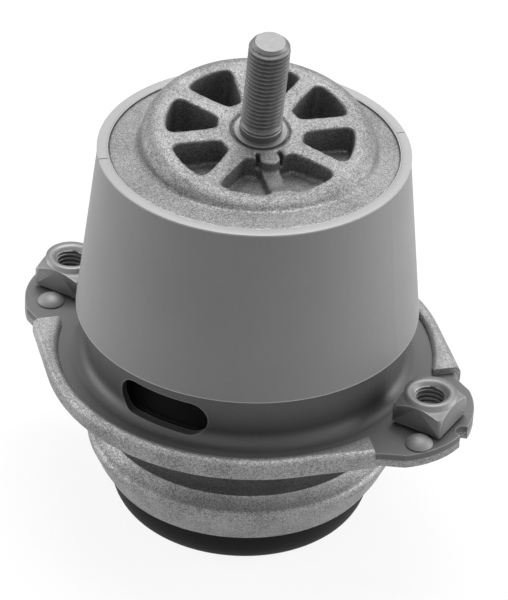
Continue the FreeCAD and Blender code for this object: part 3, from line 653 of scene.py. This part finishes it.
def shaped(piece: Object, *modifiers: tuple[str, dict[str, object]]) -> Object:
    """Runs modifiers on a piece and keeps the result as its plain mesh.

    Args:
        piece: The piece to shape.
        *modifiers: Kind and settings of each modifier, in order.

    Returns:
        The new piece, under the same name.
    """
    for kind, settings in modifiers:
        modifier = piece.modifiers.new(kind.lower(), kind)
        for label, value in settings.items():
            setattr(modifier, label, value)
    mesh = bpy.data.meshes.new_from_object(piece.evaluated_get(bpy.context.evaluated_depsgraph_get()))
    name = piece.name
    bpy.data.objects.remove(piece)
    return piece_of(name, mesh)


def mount_of(name: str) -> dict:
    """The record's mount of a name."""
    return next(mount for mount in frame["record"]["mounts"] if mount["name"] == name)


def mesh_of(name: str, shell: bmesh.types.BMesh) -> Mesh:
    """Ends an edited mesh as a plain one under a name.

    Args:
        name: Name of the mesh.
        shell: The edited mesh, which is freed.

    Returns:
        The plain mesh.
    """
    mesh = bpy.data.meshes.new(name)
    shell.to_mesh(mesh)
    shell.free()
    return mesh


def merged(node: Node) -> Mesh:
    """Copies a CAD node's mesh with its loose triangles joined.

    Args:
        node: The node.

    Returns:
        The mesh.
    """
    shell = bmesh.new()
    shell.from_mesh(frame["nodes"][node.value].data)
    bmesh.ops.remove_doubles(shell, verts=shell.verts, dist=JOIN)
    return mesh_of(node.value, shell)


def shade(mesh: Mesh, sharp: float) -> None:
    """Shades a mesh smooth, apart from edges sharper than an angle in degrees."""
    mesh.shade_smooth()
    mesh.set_sharp_from_angle(angle=math.radians(sharp))


def rename(piece: Object, name: str, finish: Material) -> None:
    """Names a combined piece and gives it its one finish.

    Args:
        piece: The piece.
        name: Its name.
        finish: Its material.
    """
    piece.name = piece.data.name = name
    piece.data.materials.clear()
    piece.data.materials.append(finish)


def combined(piece: Object, other: Object, how: Cut) -> Object:
    """Combines a solid with another, which is used up.

    Args:
        piece: The solid to keep.
        other: The solid to combine it with.
        how: What is done with the other solid.

    Returns:
        The combined solid.
    """
    result = shaped(piece, ("BOOLEAN", {"operation": how.value, "solver": "EXACT", "object": other}))
    bpy.data.objects.remove(other)
    return result


@dataclass
class CastHead:
    """Blasted casting: flat ledge, and a leaning hub with pockets, a peg and a seat for the stud.

    Attributes:
        finish: Material of the casting.
        machined: Material of the turned seat.
        tree: Geometry tree of the pockets.
        hub_flat: Radius of the hub's flat top; this and the other sizes are in millimetres.
        hub_round: Radius of the hub's rounded shoulder.
        hub_foot: Radius of the hub at its foot.
        hub_depth: How far the hub reaches down its axis.
        ledge_rise: Height of the ledge above the shield's rim, beside the hub.
        floor_drop: Depth of the pockets' floor below the rim.
        web: Thickness of the head under the pockets.
        pockets: Number of pockets.
        boss: Radius of the boss round the stud.
        pocket_out: Outer radius of the pockets.
        spoke: Width of a spoke.
        low_spoke: Depth of the lowered spoke beside the peg.
        low_spoke_width: Width of the lowered spoke.
        peg: Radius of the peg.
        peg_at: Distance of the peg from the stud's axis.
        seat: Radius of the turned seat.
        seat_bore: Radius of the seat's bore, inside the stud.
        seat_gap: Width of the groove round the seat.
        draft: How much wider a pocket's block is at its top than in its middle, as a share.
        squareness: How square the pockets' corners are; 2 is round.
        ramp_lap: How far the lowered spoke starts inside the peg's axis.
        over: How far the block that lowers the spoke stands over the hub's top.
        hub_lap: How far the disc's ledge reaches in under the hub's foot.
        shelf: Width of the shelf that holds the shield.
        shelf_drop: Depth of the shelf below the rim.
        edge_drop: Depth of the foot of the disc's edge below the rim.
        stem_in: How far the stem lies inside the disc's edge.
        grain: Edge of the remeshed casting's small squares.
    """

    finish: Material
    machined: Material
    tree: NodeTree
    hub_flat: float = 29.4
    hub_round: float = 5.0
    hub_foot: float = 35.4
    hub_depth: float = 19.0
    ledge_rise: float = -0.3
    floor_drop: float = 2.2
    web: float = 7.0
    pockets: int = 8
    boss: float = 12.6
    pocket_out: float = 27.4
    spoke: float = 5.0
    low_spoke: float = 4.8
    low_spoke_width: float = 8.0
    peg: float = 2.9
    peg_at: float = 11.9
    seat: float = 7.8
    seat_bore: float = 5.8
    seat_gap: float = 0.9
    draft: float = 0.2
    squareness: float = 6.0
    ramp_lap: float = 2.4
    over: float = 2.0
    hub_lap: float = 4.0
    shelf: float = 1.7
    shelf_drop: float = 1.4
    edge_drop: float = 5.5
    stem_in: float = 25.0
    grain: float = 0.5

    def build(self) -> list[Object]:
        """Builds the casting and its turned seat.

        Returns:
            The pieces.
        """
        pin = mount_of("stud")
        axis = Vector(pin["axis"]).normalized()
        self.lean = Vector((0.0, 0.0, 1.0)).rotation_difference(axis)
        neck = Stud.neck_height + pin["dims"]["length_mm"] / 2
        self.top = Vector(pin["pos_m"]) - axis * neck * MM
        self.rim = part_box(Node.SHIELD.value)[1].z / MM
        casting = combined(self.hub(), self.disc(), Cut.JOINED)
        casting = shaped(
            casting,
            ("REMESH", {"mode": "VOXEL", "voxel_size": self.grain * MM, "use_smooth_shade": True}),
            ("SMOOTH", {"factor": 0.5, "iterations": 3}))
        rename(casting, "cast_head", self.finish)
        seat = turned("stud_seat", [
            (self.seat_bore, -1.5), (self.seat, -1.5), (self.seat, -0.15), (self.seat - 0.2, 0.0),
            (self.seat_bore, 0.0)], self.machined, self.top, self.lean.to_matrix())
        for piece in (casting, seat):
            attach(piece, BODY)
        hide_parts(Node.HEAD.value)
        return [casting, seat]

    def hub(self) -> Object:
        """Leaning hub with its pockets, lowered spoke, peg and the recess round the seat.

        Returns:
            The hub.
        """
        lean = self.lean.to_matrix()
        shoulder = self.hub_flat + self.hub_round
        curve = [(shoulder - self.hub_round * (1 - math.sin(math.radians(turn))),
                  -self.hub_round * (1 - math.cos(math.radians(turn)))) for turn in range(0, 91, 10)]
        recess = self.seat + self.seat_gap
        wall = [(self.hub_foot, -self.hub_depth * 0.6), (self.hub_foot, -self.hub_depth)]
        profile = [(0.0, -1.0), (recess, -1.0), (recess, 0.0), *curve, *wall, (0.0, -self.hub_depth)]
        hub = turned("hub", profile, self.finish, self.top, lean)
        foot = self.rim - self.floor_drop - self.web + 1.0
        under = [(0.0, foot - 30.0), (60.0, foot - 30.0), (60.0, foot), (0.0, foot)]
        hub = combined(hub, turned("under", under, self.finish), Cut.LESS)
        wedges = grow(
            "pocket_wedges", self.tree, Count=self.pockets, Inner=self.boss * MM,
            Outer=self.pocket_out * MM, Spoke=self.spoke * MM, Depth=self.hub_depth * 1.2 * MM, Draft=self.draft,
            Squareness=self.squareness, Place=self.top, Lean=Vector(self.lean.to_euler()),
            Material=self.finish)
        hub = combined(hub, wedges, Cut.LESS)
        hub = combined(hub, self.ramp(), Cut.LESS)
        toward = Vector((1.0, -1.0, 0.0)).normalized() * self.peg_at * MM
        root = -self.low_spoke - 4.0
        side = [(0.0, root), (self.peg + 0.15, root), (self.peg, -0.2), (self.peg - 0.2, 0.0), (0.0, 0.0)]
        peg = turned("peg", side, self.finish, self.top + lean @ toward, lean, 48)
        return combined(hub, peg, Cut.JOINED)

    def ramp(self) -> Object:
        """Wedge that lowers the spoke beside the peg, and runs out at the hub's rim.

        Returns:
            The wedge.
        """
        half = self.low_spoke_width / 2
        start = self.peg_at - self.ramp_lap
        side = [(start, self.over), (start, -self.low_spoke),
                (self.pocket_out * 0.8, -self.low_spoke * 0.5), (self.pocket_out + 2.0, self.over)]
        shell = bmesh.new()
        faces = [[shell.verts.new((out * MM, across * MM, height * MM)) for out, height in side]
                 for across in (-half, half)]
        shell.faces.new(faces[0])
        shell.faces.new(faces[1][::-1])
        for first in range(4):
            after = (first + 1) % 4
            shell.faces.new((faces[0][after], faces[0][first], faces[1][first], faces[1][after]))
        bmesh.ops.recalc_face_normals(shell, faces=shell.faces)
        mesh = mesh_of("ramp", shell)
        turn = Matrix.Rotation(math.radians(-45.0), 4, "Z")
        mesh.transform(Matrix.Translation(self.top) @ self.lean.to_matrix().to_4x4() @ turn)
        return piece_of("ramp", mesh)

    def disc(self) -> Object:
        """Head's disc: the pockets' floor, the ledge, the step that holds the shield, and the stem.

        Returns:
            The disc.
        """
        low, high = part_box(Node.HEAD.value)
        outer = high.x / MM
        inner = self.rim - self.floor_drop
        under = inner - self.web
        stem = outer - self.stem_in
        start = self.hub_foot - self.hub_lap
        ledge = self.rim + self.ledge_rise
        shelf = self.rim - self.shelf_drop
        top = [(0.0, inner), (start, inner), (start, ledge), (outer - self.shelf, ledge)]
        edge = [(outer - self.shelf, shelf), (outer, shelf), (outer, self.rim - self.edge_drop)]
        below = [(outer - 9.0, under + 2.0), (stem + 3.0, under), (stem, under - 3.0),
                 (stem, low.z / MM), (0.0, low.z / MM)]
        return turned("disc", [*top, *edge, *below], self.finish)


@dataclass
class ShieldRim:
    """Rim of the heat shield, with fine steps across it, given a lighter tone than the shield's sheet as painted
    light from above.

    Attributes:
        finish: Material of the rim, lighter than the shield's as painted light from above.
        inner: Inner radius in millimetres.
        outer: Outer radius in millimetres.
        proud: How far it stands over the sheet in millimetres.
        steps: Degrees round the rim to each step.
        gap: Width of a step in millimetres.
        cutter_at: Radius in millimetres of the middle of the block that cuts a step.
        cutter_length: Length of that block along the radius, in millimetres.
        cutter_height: Height of that block in millimetres.
    """

    finish: Material
    inner: float = 42.8
    outer: float = 45.7
    proud: float = 0.15
    steps: tuple[float, ...] = (-138.0, 46.0)
    gap: float = 0.35
    cutter_at: float = 45.0
    cutter_length: float = 9.0
    cutter_height: float = 4.0

    def build(self) -> Object:
        """Turns the rim and cuts its steps.

        Returns:
            The rim.
        """
        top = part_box(Node.SHIELD.value)[1].z / MM
        crown = top + self.proud
        rim = turned("shield_rim", [
            (self.inner, top - 0.5), (self.outer, top - 0.5), (self.outer, top), (self.outer - 0.4, crown),
            (self.inner + 0.3, crown), (self.inner, top)], self.finish)
        for angle in self.steps:
            turn = Matrix.Rotation(math.radians(angle), 4, "Z")
            shell = bmesh.new()
            bmesh.ops.create_cube(shell, size=MM)
            mesh = mesh_of("step", shell)
            mesh.transform(turn @ Matrix.Translation(Vector((self.cutter_at, 0.0, top)) * MM)
                           @ Matrix.Diagonal((self.cutter_length, self.gap, self.cutter_height, 1.0)))
            rim = combined(rim, piece_of("step", mesh), Cut.LESS)
        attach(rim, BODY)
        return rim


@dataclass
class PressedBracket:
    """Lower bracket with its pot pressed out into a bulge, and the hem folded up clear of the housing.

    Attributes:
        finish: Material of the bracket.
        cut_z: Height in millimetres under which the pot is shaped here.
        hem_in: Inner radius of the hem in millimetres.
        hem_foot: Height in millimetres over which the hem is all that stands.
        bead: Width in millimetres of the hem's rounded inner edge.
        room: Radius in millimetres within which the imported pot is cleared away.
        room_foot: Height in millimetres from which it is cleared away.
        gap_in: Inner radius in millimetres of the room between the housing and the hem.
        gap_top: Height in millimetres that this room reaches, over the hem.
    """

    finish: Material
    cut_z: float = 42.0
    hem_in: float = 56.4
    hem_foot: float = 50.9
    bead: float = 1.4
    room: float = 58.0
    room_foot: float = -5.0
    gap_in: float = 45.0
    gap_top: float = 56.0

    def build(self) -> Object:
        """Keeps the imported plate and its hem, and gives it the pot's pressed section.

        Returns:
            The bracket.
        """
        bracket = piece_of("bracket", merged(Node.BRACKET))
        rename(bracket, "bracket", self.finish)
        away = [(0.0, self.room_foot), (self.room, self.room_foot), (self.room, self.cut_z),
                (0.0, self.cut_z)]
        bracket = combined(bracket, turned("pot_room", away, self.finish), Cut.LESS)
        bead = self.hem_in + self.bead
        gap = [(self.gap_in, self.hem_foot), (self.hem_in, self.hem_foot), (self.hem_in, 51.9),
               (self.hem_in + 0.5, 52.8), (bead, 53.3), (bead, self.gap_top), (self.gap_in, self.gap_top)]
        bracket = combined(bracket, turned("hem_room", gap, self.finish), Cut.LESS)
        bracket = combined(bracket, turned("pressed_pot", self.section(), self.finish), Cut.JOINED)
        shade(bracket.data, SHARP)
        bracket.name = bracket.data.name = "pressed_bracket"
        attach(bracket, BODY)
        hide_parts(Node.BRACKET.value)
        return bracket

    @staticmethod
    def section() -> list[tuple[float, float]]:
        """Half section of the pot's wall: neck, rounded bulge, crease and tapered skirt.

        Returns:
            Radius and height of each corner in millimetres.
        """
        bulge = [(45.5 + 1.8 * math.sin(math.radians(turn)), 22.9 + 2.4 * math.cos(math.radians(turn)))
                 for turn in range(15, 106, 15)]
        neck = [(45.0, 42.2), (43.5, 40.2), (43.4, 32.0), (42.6, 30.8), (42.5, 28.3), (43.1, 27.2)]
        skirt = [(45.0, 17.3), (44.8, 16.7), (42.0, 11.8)]
        inside = [(40.1, 11.8), (43.0, 17.0), (45.2, 22.8), (43.4, 24.9), (40.9, 28.0), (40.9, 31.2),
                  (42.85, 31.5), (42.85, 42.2)]
        return [*neck, *bulge, *skirt, *inside]


@dataclass
class PotNeckShadeBand:
    """Band round the pot's neck, under the hem, in a dark zinc that is painted shade for the recess under the
    hem.

    Attributes:
        finish: Material of the band, dark as painted shade.
        section: Radius and height of each corner of its wall in millimetres.
    """

    finish: Material
    section: tuple[tuple[float, float], ...] = (
        (43.7, 41.9), (43.6, 32.0), (42.8, 30.7), (42.75, 28.1), (42.0, 28.1), (42.0, 30.9),
        (43.2, 32.0), (43.2, 41.9))

    def build(self) -> Object:
        """Turns the band.

        Returns:
            The band.
        """
        band = turned("pot_neck_painted_shade", list(self.section), self.finish)
        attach(band, BODY)
        return band


@dataclass
class MouldedCap:
    """Bowl-shaped cap under the pot; its sizes are in millimetres.

    Attributes:
        finish: Material of the cap.
        flat: Radius of its flat underside.
        flare: How much the bowl widens.
        rise: Height of the bowl.
    """

    finish: Material
    flat: float = 34.85
    flare: float = 5.1
    rise: float = 9.0

    def build(self) -> Object:
        """Turns the cap's section.

        Returns:
            The cap.
        """
        side = [(self.flat + self.flare * math.sin(math.radians(turn)),
                 self.rise * (1 - math.cos(math.radians(turn)))) for turn in range(0, 91, 9)]
        inside = [(40.4, 17.0), (37.3, 12.0), (37.3, self.rise), (32.6, 2.6), (0.0, 2.6)]
        cap = turned("moulded_cap", [(0.0, 0.0), *side, (39.9, 12.5), (42.9, 17.0), *inside], self.finish)
        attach(cap, BODY)
        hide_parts(Node.CAP.value)
        return cap


@dataclass
class DomedRivet:
    """Domed head of a rivet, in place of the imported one.

    Attributes:
        node: CAD node that the rivet stands for.
        finish: Its material.
        radius: Radius of the head in millimetres.
        edge: Height of the head's straight edge in millimetres.
        dome: Height of the dome in millimetres.
        shank: Radius of the shank in millimetres.
        seat: Height of the plate that the head lies on, in millimetres.
    """

    node: Node
    finish: Material
    radius: float = 4.1
    edge: float = 0.5
    dome: float = 2.1
    shank: float = 2.5
    seat: float = 51.0

    def build(self) -> Object:
        """Turns the rivet's section at its place.

        Returns:
            The rivet.
        """
        low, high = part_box(self.node.value)
        place = (low + high) / 2
        tail = low.z / MM
        crown = self.seat + self.edge + self.dome
        ball = (self.radius ** 2 + self.dome ** 2) / (2 * self.dome)
        reach = math.asin(self.radius / ball)
        curve = [(ball * math.sin(reach * part / 8), crown - ball * (1 - math.cos(reach * part / 8)))
                 for part in range(8, 0, -1)]
        profile = [(0.0, tail), (self.shank, tail), (self.shank, self.seat), (self.radius, self.seat),
                   *curve, (0.0, crown)]
        rivet = turned(self.node.value.replace("plate", "domed"), profile, self.finish,
                       Vector((place.x, place.y, 0.0)), steps=48)
        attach(rivet, BODY)
        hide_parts(self.node.value)
        return rivet


@dataclass
class Stud:
    """Leaning stud with its rolled thread, set out from the record's pin.

    Attributes:
        finish: Material of the stud.
        tree: Geometry tree of the thread.
        pitch: Millimetres from crest to crest.
        depth: Depth of the thread in millimetres.
        bevel: Height of the tip's cone in millimetres.
        around: Steps round one turn.
        rows_a_pitch: Rows of the grid for each turn.
        neck_step: How much the plain neck stands out past the crests, in millimetres.
        neck_height: Height of the neck in millimetres.
        root: Length of the shank below the neck, in millimetres.
    """

    finish: Material
    tree: NodeTree
    pitch: float = 1.5
    depth: float = 0.92
    bevel: float = 1.7
    around: int = 72
    rows_a_pitch: int = 12
    neck_step: float = 0.2
    neck_height: float = 2.2
    root: float = 46.0

    def build(self) -> list[Object]:
        """Builds the thread and the shank, which stand for the CAD stud.

        Returns:
            The two pieces.
        """
        pin = mount_of("stud")
        axis = Vector(pin["axis"]).normalized()
        lean = axis.to_track_quat("Z", "X")
        plain = pin["dims"]["length_mm"]
        start = Vector(pin["pos_m"]) - axis * plain / 2 * MM
        radius = pin["dims"]["r_mm"]
        length = plain + self.bevel
        thread = grow(
            "stud_thread", self.tree, Length=length * MM, Pitch=self.pitch * MM, Crest=radius * MM,
            Root=(radius - self.depth) * MM, Run_Out=self.pitch * 1.6 * MM, Bevel=self.bevel * MM,
            Around=self.around, Rows=round(length / self.pitch * self.rows_a_pitch) + 2, Place=start,
            Lean=Vector(lean.to_euler()), Material=self.finish)
        neck = radius + self.neck_step
        tail = -self.neck_height - self.root
        profile = [(0.0, tail), (neck, tail), (neck, -self.neck_step),
                   (neck - self.neck_step * 2, self.neck_step), (0.0, self.neck_step)]
        shank = turned("stud_shank", profile, self.finish, start, lean.to_matrix())
        for piece in (thread, shank):
            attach(piece, BODY)
        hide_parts(Node.STUD.value)
        return [thread, shank]


def turned(name: str, profile: list[tuple[float, float]], finish: Material,
           place: Vector = Vector(), lean: Matrix = Matrix.Identity(3), steps: int = 96) -> Object:
    """Turns a half section about its axis.

    Args:
        name: Name of the piece.
        profile: Radius and height of each corner in millimetres; a closed loop unless it ends on the axis.
        finish: Its material.
        place: Where the section's origin goes, in metres.
        lean: How its axis is turned.
        steps: Steps round the axis.

    Returns:
        The piece's object.
    """
    shell = bmesh.new()
    spots = [shell.verts.new((radius * MM, 0.0, height * MM)) for radius, height in profile]
    ring = spots if profile[0][0] == 0.0 else spots + spots[:1]
    sides = [shell.edges.new(pair) for pair in zip(ring, ring[1:])]
    bmesh.ops.spin(shell, geom=[*spots, *sides], axis=(0, 0, 1), cent=(0, 0, 0), steps=steps,
                   angle=math.tau)
    bmesh.ops.remove_doubles(shell, verts=shell.verts, dist=JOIN)
    bmesh.ops.recalc_face_normals(shell, faces=shell.faces)
    mesh = mesh_of(name, shell)
    mesh.transform(Matrix.Translation(place) @ lean.to_4x4())
    shade(mesh, SHARP)
    mesh.materials.append(finish)
    return piece_of(name, mesh)


@dataclass
class WeldNut:
    """Square weld nut with its thread tapped into it.

    Attributes:
        node: CAD node that the nut stands for.
        finish: Material of the nut.
        tree: Geometry tree of the thread.
        pitch: Millimetres from crest to crest.
        depth: Depth of the thread in millimetres.
        around: Steps round one turn.
        rows_a_pitch: Rows of the grid for each turn.
        play: How far the thread's crest stands inside the bore, in millimetres.
        sharp: Degrees past which an edge stays sharp.
    """

    node: Node
    finish: Material
    tree: NodeTree
    pitch: float = 1.5
    depth: float = 0.81
    around: int = 64
    rows_a_pitch: int = 10
    play: float = 0.15
    sharp: float = 30.0

    def build(self) -> Object:
        """Builds the nut from the CAD node's shape, less the tap.

        Returns:
            The nut's object.
        """
        low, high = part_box(self.node.value)
        mount = self.node.value.replace("weld_", "")
        hole = mount_of(mount)
        root = hole["dims"]["r_mm"]
        length = (high.z - low.z) / MM + 2 * self.pitch
        tap = grow(
            f"{mount}_tap", self.tree, Length=length * MM, Pitch=self.pitch * MM,
            Crest=(root + self.depth) * MM, Root=(root - self.play) * MM, Run_Out=MM / 1000, Bevel=0.0,
            Around=self.around, Rows=round(length / self.pitch * self.rows_a_pitch) + 2,
            Place=Vector((hole["pos_m"][0], hole["pos_m"][1], low.z - self.pitch * MM)),
            Lean=Vector(), Material=self.finish)
        nut = combined(piece_of(f"{mount}_blank", merged(self.node)), tap, Cut.LESS)
        rename(nut, f"{mount}_threaded", self.finish)
        shade(nut.data, self.sharp)
        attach(nut, BODY)
        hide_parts(self.node.value)
        return nut


# ---------------------------------------------------------------- stage, light and camera


def direction(turn: float, rise: float) -> Vector:
    """Direction out of the mount, from radians round from the front and radians above the horizon."""
    return Vector((math.sin(turn) * math.cos(rise), -math.cos(turn) * math.cos(rise), math.sin(rise)))


@dataclass
class Camera:
    """Camera on the mount, set out from the top rim of the heat shield.

    Attributes:
        azimuth: Degrees round from the front, toward the right.
        elevation: Degrees above the horizon.
        roll: Degrees that the camera is turned on its own axis.
        distance: Metres from the aimed point.
        across: Metres that the aimed point lies beside the rim's middle.
        drop: Metres that the aimed point lies below the rim, across the view.
        lens: Focal length in millimetres.
    """

    azimuth: float = 29.7
    elevation: float = 34.49
    roll: float = 2.71
    distance: float = 1.0
    across: float = -0.00018
    drop: float = 0.043786
    lens: float = 207.3

    def build(self) -> Object:
        """Makes the camera and gives it to the scene.

        Returns:
            The camera's object.
        """
        turn, rise, roll = (math.radians(v) for v in (self.azimuth, self.elevation, self.roll))
        level = Vector((math.cos(turn), math.sin(turn), 0.0))
        back = direction(turn, rise)
        steep = back.cross(level)
        right = level * math.cos(roll) + steep * math.sin(roll)
        above = steep * math.cos(roll) - level * math.sin(roll)
        rim = Vector((0.0, 0.0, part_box(Node.SHIELD.value)[1][2]))
        data = bpy.data.cameras.new("camera")
        data.lens = self.lens
        data.clip_start = 0.05
        data.clip_end = 20.0
        camera = piece_of("camera", data)
        camera.matrix_world = Matrix.Translation(
            rim + back * self.distance + right * self.across - above * self.drop
        ) @ Matrix((right, above, back)).transposed().to_4x4()
        bpy.context.scene.camera = camera
        return camera


@dataclass(frozen=True)
class Panel:
    """A soft square light that faces the mount.

    Attributes:
        name: Name of the lamp.
        azimuth: Degrees round from the front, toward the right.
        elevation: Degrees above the horizon.
        distance: Metres from the mount's middle.
        size: Length of its side in metres.
        power: Watts.
    """

    name: str
    azimuth: float
    elevation: float
    distance: float
    size: float
    power: float

    def build(self) -> None:
        """Makes the lamp."""
        out = direction(math.radians(self.azimuth), math.radians(self.elevation))
        lamp = bpy.data.lights.new(self.name, "AREA")
        lamp.shape = "SQUARE"
        lamp.size = self.size
        lamp.energy = self.power
        panel = piece_of(self.name, lamp)
        low, high = (Vector(corner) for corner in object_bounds())
        panel.location = (low + high) / 2 + out * self.distance
        panel.rotation_euler = out.to_track_quat("Z", "Y").to_euler()


def seen_white(wiring: Wiring) -> NodeSocket:
    """Mask of the rays that see the background as white: from the camera, a gloss or a glass.

    Args:
        wiring: Wiring of the tree that uses it.

    Returns:
        The mask's socket.
    """
    path = wiring.add("ShaderNodeLightPath")
    mask = wiring.math("MAXIMUM", path.outputs["Is Camera Ray"], path.outputs["Is Glossy Ray"])
    return wiring.math("MAXIMUM", mask, path.outputs["Is Transmission Ray"])


@dataclass
class Studio:
    """Pale floor, soft panels of light and the world round the mount.

    Attributes:
        world_level: Strength of the world's light.
        floor_glow: Share of plain white in the floor, as the camera sees it.
        floor_reach: Half of the floor's side in metres.
        floor_gap: Metres that the floor lies below the mount.
        panels: The lamps.
    """

    world_level: float = 0.28
    floor_glow: float = 0.9
    floor_reach: float = 3.0
    floor_gap: float = 0.0003
    panels: tuple[Panel, ...] = (
        Panel("top_panel", 200.0, 72.0, 0.9, 0.7, 12.0),
        Panel("left_panel", -75.0, 12.0, 0.8, 0.5, 3.2),
        Panel("right_panel", 128.0, 14.0, 0.8, 0.5, 4.5),
    )

    def build(self) -> None:
        """Makes the floor, the lamps and the world."""
        self.floor()
        for panel in self.panels:
            panel.build()
        self.world()

    def world(self) -> None:
        """Makes the world that fills the shadows."""
        world = bpy.data.worlds.new("studio")
        world.use_nodes = True
        bpy.context.scene.world = world
        world.node_tree.nodes.clear()
        wiring = Wiring(world.node_tree)
        fill = wiring.add("ShaderNodeBackground", None, Color=grey(1.0), Strength=self.world_level)
        white = wiring.add("ShaderNodeBackground", None, Color=grey(1.0), Strength=1.0)
        leave = wiring.add("ShaderNodeOutputWorld")
        mix = wiring.add("ShaderNodeMixShader", None, Fac=seen_white(wiring))
        wiring.feed(mix, 1, fill.outputs[0])
        wiring.feed(mix, 2, white.outputs[0])
        wiring.feed(leave, "Surface", mix.outputs[0])

    def floor(self) -> Object:
        """Makes the floor that the mount stands on.

        Returns:
            The floor's object.
        """
        mesh = bpy.data.meshes.new("floor")
        reach = self.floor_reach
        corners = [(-reach, -reach, 0), (reach, -reach, 0), (reach, reach, 0), (-reach, reach, 0)]
        mesh.from_pydata(corners, [], [(0, 1, 2, 3)])
        floor = piece_of("floor", mesh)
        floor.location.z = -self.floor_gap
        material = bpy.data.materials.new("floor_white")
        material.use_nodes = True
        shader = material.node_tree.nodes["Principled BSDF"]
        shader.inputs["Base Color"].default_value = grey(0.9)
        shader.inputs["Roughness"].default_value = 0.9
        shader.inputs["Specular IOR Level"].default_value = 0.0
        wiring = Wiring(material.node_tree)
        white = wiring.add("ShaderNodeEmission", None, Color=grey(1.0), Strength=1.0)
        share = wiring.times(seen_white(wiring), self.floor_glow)
        mix = wiring.add("ShaderNodeMixShader", None, Fac=share)
        wiring.feed(mix, 1, shader.outputs[0])
        wiring.feed(mix, 2, white.outputs[0])
        leave = next(n for n in material.node_tree.nodes if n.type == "OUTPUT_MATERIAL")
        wiring.feed(leave, "Surface", mix.outputs[0])
        mesh.materials.append(material)
        floor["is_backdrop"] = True
        return floor


def report(pieces: list[Object]) -> None:
    """Logs each new piece with its size in triangles.

    Args:
        pieces: The pieces that were just built.
    """
    for piece in pieces:
        piece.data.calc_loop_triangles()
        LOG.info("%s: %d triangles", piece.name, len(piece.data.loop_triangles))


def main() -> None:
    """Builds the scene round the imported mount."""
    logging.basicConfig(level=logging.INFO, format="%(name)s: %(message)s")
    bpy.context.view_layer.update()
    finishes = Finishes(Effects())
    finishes.dress_nodes()
    look = finishes.materials
    report(CastHead(look["cast_alloy"], look["turned_steel"], pocket_tree()).build())
    # the rim's lighter tone is painted light from above
    report([ShieldRim(look["shield_rim"]).build()])
    report([PressedBracket(look["zinc_sheet"]).build()])
    # the neck band's dark zinc is painted shade under the hem
    report([PotNeckShadeBand(look["zinc_painted_shade"]).build()])
    report([MouldedCap(look["cap_plastic"]).build()])
    for node in (Node.RIVET_RIGHT, Node.RIVET_LEFT):
        report([DomedRivet(node, look["rivet_steel"]).build()])
    thread = thread_tree()
    report(Stud(look["stud_steel"], thread).build())
    for node in (Node.NUT_RIGHT, Node.NUT_LEFT):
        report([WeldNut(node, look["nut_steel"], thread).build()])
    Studio().build()
    Camera().build()
    bpy.context.scene.view_settings.view_transform = "Standard"


if __name__ == "__main__":
    main()
